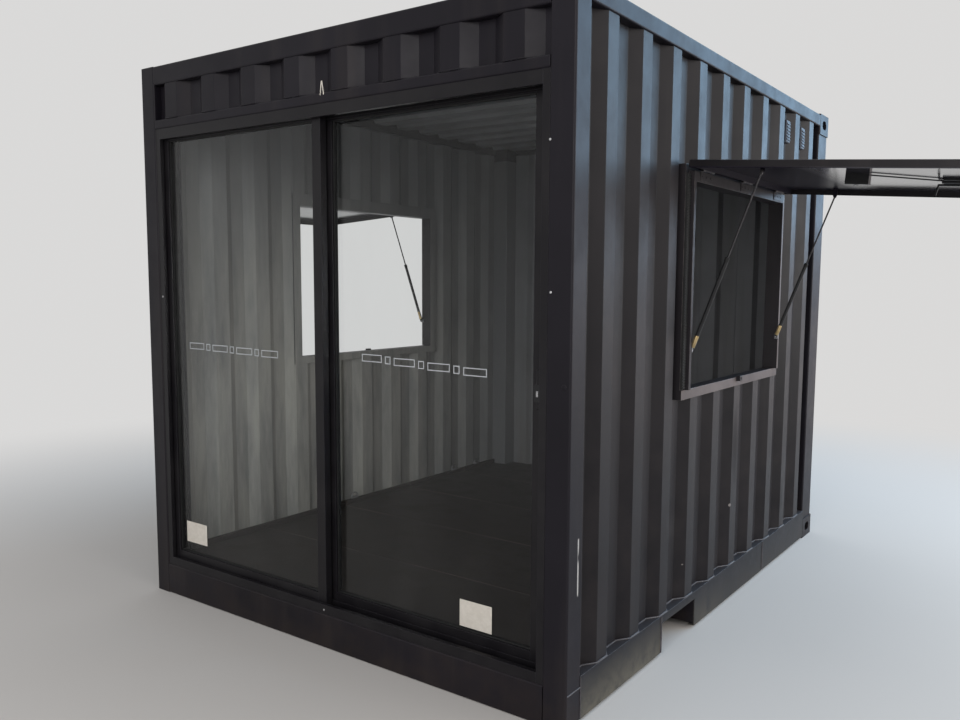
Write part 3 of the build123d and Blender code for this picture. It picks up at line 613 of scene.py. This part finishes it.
def openMesh():
    # edit mode with everything selected
    bpy.ops.object.mode_set(mode="EDIT")
    bpy.ops.mesh.select_all(action="SELECT")


def closeMesh():
    bpy.ops.object.mode_set(mode="OBJECT")


def bevelAll(width):
    openMesh()
    bpy.ops.mesh.bevel(offset=width, segments=2, affect="EDGES")
    closeMesh()


def addBlock(name, middle, size, turn=0.0, bevel=0.0):
    # a box round its middle, turned about the Y axis
    startFresh()
    bpy.ops.mesh.primitive_cube_add(size=1, location=middle, rotation=(0, turn, 0))
    piece = bpy.context.object
    piece.scale = size
    settle(piece, name)
    if bevel:
        bevelAll(bevel)
    return piece


def addBox(name, low, high, bevel=0.0):
    low, high = Vector(low), Vector(high)
    return addBlock(name, (low + high) / 2, high - low, 0.0, bevel)


def addRod(name, start, end, radius, bevel=0.0, vertices=24):
    startFresh()
    start, end = Vector(start), Vector(end)
    bpy.ops.mesh.primitive_cylinder_add(
        vertices=vertices, radius=radius, depth=(end - start).length, location=(start + end) / 2,
        rotation=(end - start).to_track_quat("Z", "Y").to_euler(),
    )
    piece = settle(bpy.context.object, name)
    if bevel:
        bevelAll(bevel)
    bpy.ops.object.shade_smooth_by_angle(angle=radians(35))
    return piece


def joined(name, pieces):
    startFresh()
    for piece in pieces:
        piece.select_set(True)
    bpy.context.view_layer.objects.active = pieces[0]
    bpy.ops.object.join()
    piece = bpy.context.object
    piece.name = name
    piece.data.name = name
    return piece


def addBentRod(name, points, radius):
    # straight runs with a ball at each bend
    pieces = [addRod("run", start, end, radius, 0.0, 12) for start, end in zip(points, points[1:])]
    for point in points[1:-1]:
        startFresh()
        bpy.ops.mesh.primitive_uv_sphere_add(segments=12, ring_count=8, radius=radius, location=point)
        bpy.ops.object.shade_smooth()
        pieces.append(settle(bpy.context.object, "elbow"))
    return joined(name, pieces)


# turns that set a round section square to each axis
sections = {"X": (0, pi / 2, 0), "Y": (pi / 2, 0, 0), "Z": (0, 0, 0)}


def addRun(name, points, radius, axis):
    # a small round section carried along a line of points, always square to the axis
    startFresh()
    bpy.ops.mesh.primitive_circle_add(
        vertices=8, radius=radius, fill_type="NGON", location=points[0], rotation=sections[axis]
    )
    piece = bpy.context.object
    openMesh()
    bpy.ops.mesh.select_mode(type="FACE")
    for start, end in zip(points, points[1:]):
        bpy.ops.mesh.extrude_region_move(TRANSFORM_OT_translate={"value": Vector(end) - Vector(start)})
    bpy.ops.mesh.select_all(action="SELECT")
    bpy.ops.mesh.normals_make_consistent(inside=False)
    closeMesh()
    bpy.ops.object.shade_smooth_by_angle(angle=radians(50))
    return settle(piece, name)


def dress(piece, material, body):
    piece.data.materials.clear()
    piece.data.materials.append(material)
    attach(piece, body)
    return piece


def selectFaces(piece, chosen):
    # leaves only the chosen faces selected, with face selection on
    bpy.context.tool_settings.mesh_select_mode = (False, False, True)
    bpy.ops.object.mode_set(mode="EDIT")
    bpy.ops.mesh.select_all(action="DESELECT")
    closeMesh()
    for polygon in piece.data.polygons:
        polygon.select = chosen(polygon)
    bpy.ops.object.mode_set(mode="EDIT")


def addFrame(name, low, high, width):
    # a flat ring in the front's plane: its front and back faces are inset, then bridged
    piece = addBox(name, low, high)
    selectFaces(piece, lambda polygon: abs(polygon.normal.y) > facing["square"])
    bpy.ops.mesh.inset(thickness=width)
    bpy.ops.mesh.bridge_edge_loops()
    closeMesh()
    return piece


def signed(sign, first, second, low, high):
    # a box's corners, mirrored to its side of the cabin
    x0, x1 = sorted((sign * first, sign * second))
    return (x0, *low), (x1, *high)


# Safety marks and bare labels on the panes

# a row of marks has its left and right ends, and its height at each
panes = {
    "fixed": {"node": "fixed_leaf_glass", "body": "cabin", "marks": (-0.954, -0.313, 1.261, 1.250)},
    "sliding": {"node": "sliding_leaf_glass", "body": "door_leaf", "marks": (0.156, 0.802, 1.266, 1.240)},
}
markRow = {"long": 0.112, "short": 0.030, "tall": 0.032, "line": 0.0042, "thick": 0.0004}
markSizes = [markRow["long"], markRow["short"]] * 3 + [markRow["long"]]
for label, pane in panes.items():
    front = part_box(pane["node"])[0].y
    left, right, zLeft, zRight = pane["marks"]
    gap = (right - left - sum(markSizes)) / (len(markSizes) - 1)
    pieces = []
    place = left
    for size in markSizes:
        middle = zLeft + (zRight - zLeft) * (place + size / 2 - left) / (right - left)
        pieces.append(addFrame(
            "mark",
            (place, front - markRow["thick"], middle - markRow["tall"] / 2),
            (place + size, front, middle + markRow["tall"] / 2),
            markRow["line"],
        ))
        place += size + gap
    dress(joined(f"{label}SafetyMarks", pieces), frostFilm, pane["body"])

labelThick = 0.0006
labels = {
    "fixed": {"x": (-1.020, -0.860), "z": (0.276, 0.380)},
    "sliding": {"x": (0.676, 0.832), "z": (0.237, 0.345)},
}
for label, spot in labels.items():
    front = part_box(panes[label]["node"])[0].y
    (x0, x1), (z0, z1) = spot["x"], spot["z"]
    piece = addBox(f"{label}Label", (x0, front - labelThick, z0), (x1, front, z1))
    dress(piece, whiteLabel, panes[label]["body"])
print("marks and labels made")


# Rubber glazing beads between the panes and their leaves

bead = {"width": 0.006, "proud": 0.004, "bite": 0.008}
for label, pane in panes.items():
    low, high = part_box(pane["node"])
    pieces = []
    for y0, y1 in ((low.y - bead["proud"], low.y), (high.y, high.y + bead["proud"])):
        pieces.append(addFrame(
            "bead", (low.x + bead["bite"], y0, low.z + bead["bite"]),
            (high.x - bead["bite"], y1, high.z - bead["bite"]), bead["width"],
        ))
    dress(joined(f"{label}GlazingBeads", pieces), blackRubber, pane["body"])
print("glazing beads made")


# Weld beads along the pressed panels

def pressedLine(sheet, start, end, origin):
    # (along, inward) points of a pressed panel's outer face, its first crest counted from the origin
    crest, slope, depth = sheet["crest"], sheet["slope"], sheet["depth"]
    line = [(start, depth)]
    place = origin + sheet["first"]
    while place + crest + slope < end:
        line += [(place - slope, depth), (place, 0), (place + crest, 0), (place + crest + slope, depth)]
        place += crest + 2 * slope + sheet["valley"]
    line.append((end, depth))
    return line


sideSheet = {
    "face": 1.213, "crest": 0.078, "slope": 0.052, "valley": 0.088, "depth": 0.036, "first": 0.2255,
}
headerSheet = {
    "face": 0.003, "crest": 0.088, "slope": 0.060, "valley": 0.072, "depth": 0.036, "first": 0.086,
}
weld = {"foot": 0.0045, "header": 0.0025, "post": 0.003, "sink": 0.0015, "clear": 0.002}
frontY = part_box("front_sill")[0].y
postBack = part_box("front_right_post")[1].y
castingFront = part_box("right_wall_rear")[1].y
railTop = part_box("right_bottom_rail")[1].z
for side, sign in sides.items():
    points = [
        (sign * (sideSheet["face"] - inward + weld["sink"]), along, railTop + weld["sink"])
        for along, inward in pressedLine(
            sideSheet, postBack + weld["clear"], castingFront - weld["clear"], frontY
        )
    ]
    dress(addRun(f"{side}FootWeld", points, weld["foot"], "Y"), weldBead, "cabin")
headerLow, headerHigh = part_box("header_panel")
points = [
    (along, frontY + headerSheet["face"] + inward - weld["sink"], headerLow.z + weld["sink"])
    for along, inward in pressedLine(
        headerSheet, headerLow.x + weld["clear"], headerHigh.x - weld["clear"], headerLow.x
    )
]
dress(addRun("headerFootWeld", points, weld["header"], "X"), framePaint, "cabin")

# short beads where the side rails meet the posts, and over the joints in rails and posts
seams = {
    "y": (-0.734, 0.566), "radius": 0.005, "lift": 0.004, "drop": 0.002,
    "postZ": 0.134, "postRadius": 0.003, "postFront": 0.006, "postRear": 0.004,
}
for side, sign in sides.items():
    railLow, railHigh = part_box(f"{side}_bottom_rail")
    outer = sign * max(abs(railLow.x), abs(railHigh.x))
    z0, z1 = railLow.z + seams["lift"], railHigh.z - seams["drop"]
    points = [(outer, postBack, z0), (outer, postBack, z1)]
    dress(addRun(f"{side}PostWeld", points, weld["post"], "Z"), weldBead, "cabin")
    pieces = [addRun("seam", [(outer, y, z0), (outer, y, z1)], seams["radius"], "Z") for y in seams["y"]]
    ends = (frontY + seams["postFront"], postBack - seams["postRear"])
    points = [(outer, y, seams["postZ"]) for y in ends]
    pieces.append(addRun("seam", points, seams["postRadius"], "Y"))
    dress(joined(f"{side}Seams", pieces), weldBead, "cabin")
print("welds made")


# Ribbed rubber seals down both flanges of each hatch frame

seal = {
    "width": 0.030, "thick": 0.009, "low": 1.135, "high": 2.035, "inset": 0.002,
    "ribs": 74, "pitch": 0.012, "ribProud": 0.0035, "ribInset": 0.001, "ribZ": (0.004, 0.010),
}
hatch = {"flange": 1.225, "lip": 1.250}
for side, sign in sides.items():
    low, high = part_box(f"{side}_hatch_frame")
    face = hatch["flange"]
    pieces = []
    for y0 in (low.y + seal["inset"], high.y - seal["inset"] - seal["width"]):
        pieces.append(addBox("strip", *signed(
            sign, face, face + seal["thick"], (y0, seal["low"]), (y0 + seal["width"], seal["high"])
        )))
        rib = addBox("rib", *signed(
            sign, face + seal["thick"] / 2, face + seal["thick"] + seal["ribProud"],
            (y0 + seal["ribInset"], seal["low"] + seal["ribZ"][0]),
            (y0 + seal["width"] - seal["ribInset"], seal["low"] + seal["ribZ"][1]),
        ))
        array = rib.modifiers.new("ribs", "ARRAY")
        array.count = seal["ribs"]
        array.use_relative_offset = False
        array.use_constant_offset = True
        array.constant_offset_displace = (0, 0, seal["pitch"])
        bpy.ops.object.modifier_apply(modifier="ribs")
        pieces.append(rib)
    dress(joined(f"{side}HatchSeals", pieces), blackRubber, "cabin")
print("hatch seals made")


# Keeper block for the bolt on each hatch sill, with its hole

# the hole is a short near-black rod between two distances out from the block's face, painted shade standing
# for the hole's depth
keeper = {
    "x": (1.231, 1.252), "y": (0.030, 0.062), "z": (1.112, 1.138), "bevel": 0.002,
    "hole": 0.0055, "holeZ": 1.125, "holeOut": (-0.001, 0.0004), "holeVertices": 20,
}
for side, sign in sides.items():
    (y0, y1), (z0, z1) = keeper["y"], keeper["z"]
    block = addBox(f"{side}BoltKeeper", *signed(sign, *keeper["x"], (y0, z0), (y1, z1)), keeper["bevel"])
    dress(block, hatchPaint, "cabin")
    start, end = (
        (sign * (keeper["x"][1] + out), (y0 + y1) / 2, keeper["holeZ"]) for out in keeper["holeOut"]
    )
    hole = addRod(f"{side}KeeperHole", start, end, keeper["hole"], 0.0, keeper["holeVertices"])
    dress(hole, darkHole, "cabin")


# Screws in the hinge leaves

hinge = {
    "x": 1.258, "z": 2.056, "places": (-0.470, 0.010, 0.490), "leafOut": 0.003, "leafZ": 2.030,
    "spread": 0.044, "screw": 0.0045, "screwOut": 0.002, "screwBevel": 0.0007,
}
for side, sign in sides.items():
    pieces = []
    face = hatch["lip"] + hinge["leafOut"]
    for place in hinge["places"]:
        for step in (-1, 0, 1):
            y = place + step * hinge["spread"]
            start, end = ((sign * x, y, hinge["leafZ"]) for x in (face, face + hinge["screwOut"]))
            pieces.append(addRod("screw", start, end, hinge["screw"], hinge["screwBevel"]))
    dress(joined(f"{side}HingeScrews", pieces), hatchPaint, "cabin")
print("keepers and hinge screws made")


# Bolt bars with their bent handle and link, and a lock plug with its keyway, under each flap

# bars are (start, y); handle and link are (along, y, height) points on the open flap
tilt = radians(4)
flapBolt = {
    "bars": ((0.845, -0.021), (0.820, 0.148)), "barEnd": 0.985, "barWide": 0.009, "barDeep": 0.010,
    "barBevel": 0.0015, "lining": 0.027,
    "handle": ((0.985, 0.150, 0.014), (0.800, 0.150, 0.014), (0.790, 0.158, -0.030)),
    "link": ((0.590, -0.168, 0.021), (0.830, 0.035, 0.021)),
    "handleRadius": 0.0045, "linkRadius": 0.003, "linkVertices": 10,
}
# the keyway is a near-black block of painted shade just beyond the plug's end
flapLock = {
    "place": (0.5395, -0.168), "foot": -0.018, "proud": 0.0025, "radius": 0.012, "bevel": 0.0008,
    "keyway": (0.010, 0.0022, 0.0006), "keywayAt": 1.02, "keywayBevel": 0.0002,
}


def flapPoint(sign, along, y, height):
    # a place on the open flap: along it from the hinge, and up square to it
    return Vector((
        sign * (hinge["x"] + along * cos(tilt) + height * sin(tilt)), y,
        hinge["z"] - along * sin(tilt) + height * cos(tilt),
    ))


for side, sign in sides.items():
    pieces = []
    for start, y in flapBolt["bars"]:
        length = flapBolt["barEnd"] - start
        middle = flapPoint(sign, start + length / 2, y, flapBolt["lining"] - flapBolt["barDeep"] / 2)
        size = (length, flapBolt["barWide"], flapBolt["barDeep"])
        pieces.append(addBlock("bar", middle, size, sign * tilt, flapBolt["barBevel"]))
    points = [flapPoint(sign, *point) for point in flapBolt["handle"]]
    pieces.append(addBentRod("handle", points, flapBolt["handleRadius"]))
    start, end = (flapPoint(sign, *point) for point in flapBolt["link"])
    pieces.append(addRod("link", start, end, flapBolt["linkRadius"], 0.0, flapBolt["linkVertices"]))
    dress(joined(f"{side}BoltBars", pieces), strutBlack, f"{side}_flap")

    face = flapPoint(sign, *flapLock["place"], flapLock["foot"])
    down = flapPoint(sign, *flapLock["place"], flapLock["foot"] - flapLock["proud"]) - face
    plug = addRod(f"{side}LockPlug", face, face + down, flapLock["radius"], flapLock["bevel"])
    dress(plug, dullZinc, f"{side}_flap")
    middle = face + down * flapLock["keywayAt"]
    slot = addBlock(f"{side}Keyway", middle, flapLock["keyway"], sign * tilt, flapLock["keywayBevel"])
    dress(slot, darkHole, f"{side}_flap")
print("bolts and locks made")


# Brass foot sleeves and gland caps on the gas struts

strut = {"foot": (1.243, 1.300), "lean": radians(20.66), "places": (-0.555, 0.575)}
# ends are distances along the strut from the foot's pin
fittings = {
    "StrutSleeves": {
        "finish": brass, "slot": "bright_steel", "ends": (0.012, 0.066), "radius": 0.0096, "bevel": 0.0008,
    },
    "StrutCaps": {
        "finish": blackRubber, "slot": "strut_black", "ends": (0.398, 0.416), "radius": 0.0102,
        "bevel": 0.0015,
    },
}


def strutPoint(sign, y, distance):
    return Vector((
        sign * (strut["foot"][0] + distance * sin(strut["lean"])), y,
        strut["foot"][1] + distance * cos(strut["lean"]),
    ))


for side, sign in sides.items():
    for name, fitting in fittings.items():
        pieces = []
        for y in strut["places"]:
            start, end = (strutPoint(sign, y, distance) for distance in fitting["ends"])
            pieces.append(addRod("fitting", start, end, fitting["radius"], fitting["bevel"]))
        piece = joined(f"{side}{name}", pieces)
        dress(piece, fitting["finish"], f"{side}_strut_cylinders")
print("strut caps and sleeves made")


# Batten along the foot of each side wall, which gives the floor its straight edge

batten = {"x": (1.152, 1.1745), "tall": 0.030, "rear": 1.334, "front": 0.004, "bevel": 0.002}
floorLow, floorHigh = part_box("floor")
floorTop = floorHigh.z
ringFoot = floorTop + batten["tall"]
for side, sign in sides.items():
    strip = addBox(f"{side}FloorBatten", *signed(
        sign, *batten["x"], (floorLow.y + batten["front"], floorTop), (batten["rear"], ringFoot)
    ), batten["bevel"])
    dress(strip, floorPlywood, "cabin")


# Lashing rings: a folded strap on the batten and a round ring through it

# setbacks are counted from the cabin's front; a strap is as thick as it is tall
ring = {
    "radius": 0.027, "bar": 0.0045, "lift": 0.002, "strap": 0.014, "strapLong": 0.044, "bevel": 0.003,
    "setbacks": (1.345, 2.355, 2.625),
}
half = ring["strap"] / 2
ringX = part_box("lashing_rings")[1].x - half
pieces = []
for side, sign in sides.items():
    for setback in ring["setbacks"]:
        y = frontY + setback
        startFresh()
        bpy.ops.mesh.primitive_torus_add(
            major_segments=32, minor_segments=10, major_radius=ring["radius"], minor_radius=ring["bar"],
            location=(sign * ringX, y, ringFoot + half + ring["lift"]), rotation=(0, pi / 2, 0),
        )
        bpy.ops.object.shade_smooth()
        hoop = settle(bpy.context.object, "hoop")
        openMesh()
        bpy.ops.mesh.bisect(plane_co=(0, 0, ringFoot), plane_no=(0, 0, 1), clear_inner=True, use_fill=True)
        closeMesh()
        pieces.append(hoop)
        y0, y1 = y - ring["strapLong"] / 2, y + ring["strapLong"] / 2
        corners = signed(sign, ringX - half, ringX + half, (y0, ringFoot), (y1, ringFoot + ring["strap"]))
        pieces.append(addBox("strap", *corners, ring["bevel"]))
rings = dress(joined("roundLashingRings", pieces), dullZinc, "cabin")
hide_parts("lashing_rings")
print("battens and lashing rings made")


# Louvred hoods on the vent covers

# coverHalf is half a cover's length, and slant the share of proud by which a hood's top leans back
louvre = {
    "count": 6, "wide": 0.052, "tall": 0.010, "pitch": 0.0165, "proud": 0.006, "top": 0.013,
    "coverHalf": 0.034, "sink": 0.001, "slant": 0.9,
}
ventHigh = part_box("wall_vents")[1]
sidePitch = sideSheet["crest"] + 2 * sideSheet["slope"] + sideSheet["valley"]
ventRear = ventHigh.y - louvre["coverHalf"]
pieces = []
for side, sign in sides.items():
    for y in (ventRear, ventRear - sidePitch):
        y0, y1 = y - louvre["wide"] / 2, y + louvre["wide"] / 2
        for index in range(louvre["count"]):
            top = ventHigh.z - louvre["top"] - index * louvre["pitch"]
            hood = addBox("hood", *signed(
                sign, ventHigh.x - louvre["sink"], ventHigh.x + louvre["proud"],
                (y0, top - louvre["tall"]), (y1, top),
            ))
            selectFaces(hood, lambda polygon: polygon.normal.z > facing["square"])
            bpy.ops.transform.translate(value=(-sign * louvre["proud"] * louvre["slant"], 0, 0))
            closeMesh()
            pieces.append(hood)
dress(joined("ventHoods", pieces), ventPaint, "cabin")
print("vent hoods made")


# Pan-head screws on the door frame, the header's clip, the latch and the post's plug

screw = {"radius": 0.0045, "height": 0.0022, "bevel": 0.0007}
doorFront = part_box("door_jambs")[0].y
screwPlaces = [
    (1.124, frontY, 2.058), (1.134, frontY, 1.549), (-1.102, doorFront, 1.494), (0.0, doorFront, 0.168),
]
pieces = []
for x, y, z in screwPlaces:
    end = (x, y - screw["height"], z)
    pieces.append(addRod("screw", (x, y, z), end, screw["radius"], screw["bevel"]))
dress(joined("doorScrews", pieces), brightSteel, "cabin")

# two legs that part downwards; top and foot are (sideways, y, z), counted from x and the cabin's front
clip = {
    "x": 0.033, "top": (0.001, -0.001, 2.380), "foot": (0.010, 0.001, 2.325), "radius": 0.00225,
    "vertices": 10,
}
pieces = []
for lean in (-1, 1):
    start, end = (
        (clip["x"] + lean * aside, frontY + y, z) for aside, y, z in (clip["top"], clip["foot"])
    )
    pieces.append(addRod("leg", start, end, clip["radius"], 0.0, clip["vertices"]))
dress(joined("headerClip", pieces), whiteLabel, "cabin")

# y is counted from the handle's front
latch = {
    "latchPlate": {
        "finish": strutBlack, "x": (1.040, 1.066), "y": (-0.001, 0.002), "z": (1.160, 1.222),
        "bevel": 0.0008,
    },
    "doorLatch": {
        "finish": dullZinc, "x": (1.049, 1.058), "y": (-0.003, 0.001), "z": (1.178, 1.200), "bevel": 0.0015,
    },
}
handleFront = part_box("door_handle")[0].y
for name, part in latch.items():
    (x0, x1), (y0, y1), (z0, z1) = part["x"], part["y"], part["z"]
    piece = addBox(name, (x0, handleFront + y0, z0), (x1, handleFront + y1, z1), part["bevel"])
    dress(piece, part["finish"], "door_leaf")

plug = {"x": 1.192, "y": (0.001, -0.0008), "z": 1.227, "radius": 0.011, "bevel": 0.0006}
start, end = ((plug["x"], frontY + y, plug["z"]) for y in plug["y"])
dress(addRod("postPlug", start, end, plug["radius"], plug["bevel"]), framePaint, "cabin")
print("screws, clip and latch made")


# Photographer's place, standing right of the cabin's front; focus and centre are in the picture's pixels

camera = {
    "place": (2.6813, -3.9768, 1.5894), "yaw": 0.60518, "pitch": 0.10199, "roll": 0.00897,
    "focus": 853.51, "centre": (512.31, 367.44), "picture": (960, 720), "sensor": 36, "farthest": 100,
}
wide, tall = camera["picture"]
data = bpy.data.cameras.new("camera")
data.sensor_width = camera["sensor"]
data.lens = camera["focus"] / wide * camera["sensor"]
data.shift_x = (wide / 2 - camera["centre"][0]) / wide
data.shift_y = (camera["centre"][1] - tall / 2) / wide
data.clip_end = camera["farthest"]
piece = bpy.data.objects.new("camera", data)
bpy.context.scene.collection.objects.link(piece)
yaw, pitch, roll = camera["yaw"], camera["pitch"], camera["roll"]
ahead = Vector((-sin(yaw) * cos(pitch), cos(yaw) * cos(pitch), -sin(pitch)))
level = Vector((cos(yaw), sin(yaw), 0))
upright = level.cross(ahead)
right = level * cos(roll) + upright * sin(roll)
up = upright * cos(roll) - level * sin(roll)
turned = Matrix((right, up, -ahead)).transposed().to_4x4()
piece.matrix_world = Matrix.Translation(camera["place"]) @ turned
bpy.context.scene.camera = piece


# Studio: pale floor that runs out into a pale backdrop, soft lamps from the right, the top and the front

# near and far are where the floor begins to fade and where it is all backdrop
studio = {
    "floor": (0.60, 0.57, 0.535), "darker": 0.96, "grain": (0.5, 4), "size": 60, "near": 2.4, "far": 6.5,
    "matte": {"Roughness": 0.9, "Specular IOR Level": 0.1},
    "backdrop": (0.70, 0.695, 0.69, 1), "daylight": (0.88, 0.93, 1, 1), "strength": 0.46,
}


def seenRays(tree, where):
    # 1 for rays that show the background: the camera's own, mirrored and through glass
    x, y = where
    rays = addNode(tree, "ShaderNodeLightPath", where).outputs
    seen = mathOf(tree, (x + 200, y), "MAXIMUM", rays["Is Camera Ray"], rays["Is Glossy Ray"])
    return mathOf(tree, (x + 400, y), "MAXIMUM", seen, rays["Is Transmission Ray"])


startFresh()
bpy.ops.mesh.primitive_plane_add(size=studio["size"], location=(0, 0, 0))
ground = settle(bpy.context.object, "studioFloor")
material, tree, shader = newMaterial("studioFloor", studio["matte"])
grain = objectNoise(tree, (-700, 0), *studio["grain"])
darker = tuple(part * studio["darker"] for part in studio["floor"])
feed(tree, shader, {"Base Color": mixColour(tree, (-400, 0), grain, studio["floor"], darker)})
reach = vectorOf(tree, (-700, 400), "LENGTH", objectPlace(tree, (-900, 400))).outputs["Value"]
away = rangeOf(tree, (-500, 400), reach, studio["near"], studio["far"], change="SMOOTHSTEP")
fade = mathOf(tree, (0, 500), "MULTIPLY", away, seenRays(tree, (-900, 700)))
glow = addNode(tree, "ShaderNodeEmission", (0, 300), {"Color": studio["backdrop"], "Strength": 1})
merged = mixShaders(tree, (300, 200), fade, shader.outputs["BSDF"], glow.outputs["Emission"])
feed(tree, tree.nodes["Material Output"], {"Surface": merged})
ground.data.materials.append(material)
ground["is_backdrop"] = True

# each lamp's place, aim, size, power and tint
lamps = {
    "sky": ((5, 8, 6), (1.2, 0, 1.8), 8, 760, (0.38, 0.68, 1)),
    "low": ((4.6, 6, 1.3), (1.2, -0.3, 1), 3.5, 30, (1, 0.80, 0.80)),
    "hatch": ((6, 2.4, 2.2), (-1.2, -0.6, 1.2), 3, 130, (1, 0.98, 0.95)),
    "side": ((8, -1, 4), (1.2, 0, 1.3), 5, 130, (1, 0.93, 0.88)),
    "top": ((0, 0, 9), (0, 0, 0), 8, 210, (0.95, 0.97, 1)),
    "front": ((3.4, -8.5, 3.6), (0, -1.5, 1.3), 5, 290, (1, 0.97, 0.96)),
}
for name, (place, aim, size, power, tint) in lamps.items():
    data = bpy.data.lights.new(name, "AREA")
    data.shape = "SQUARE"
    data.size = size
    data.energy = power
    data.color = tint
    piece = bpy.data.objects.new(name, data)
    bpy.context.scene.collection.objects.link(piece)
    piece.visible_camera = False
    turned = (Vector(aim) - Vector(place)).to_track_quat("-Z", "Y").to_matrix().to_4x4()
    piece.matrix_world = Matrix.Translation(place) @ turned

world = bpy.data.worlds.new("studioWorld")
bpy.context.scene.world = world
world.use_nodes = True
tree = world.node_tree
plain = tree.nodes["Background"]
feed(tree, plain, {"Color": studio["daylight"], "Strength": studio["strength"]})
backdrop = addNode(tree, "ShaderNodeBackground", (0, -200), {"Color": studio["backdrop"], "Strength": 1})
seen = seenRays(tree, (-600, 200))
mixed = mixShaders(tree, (200, 0), seen, plain.outputs["Background"], backdrop.outputs["Background"])
feed(tree, tree.nodes["World Output"], {"Surface": mixed})
bpy.context.scene.view_settings.view_transform = "Standard"
print("camera and studio made")

low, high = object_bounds()
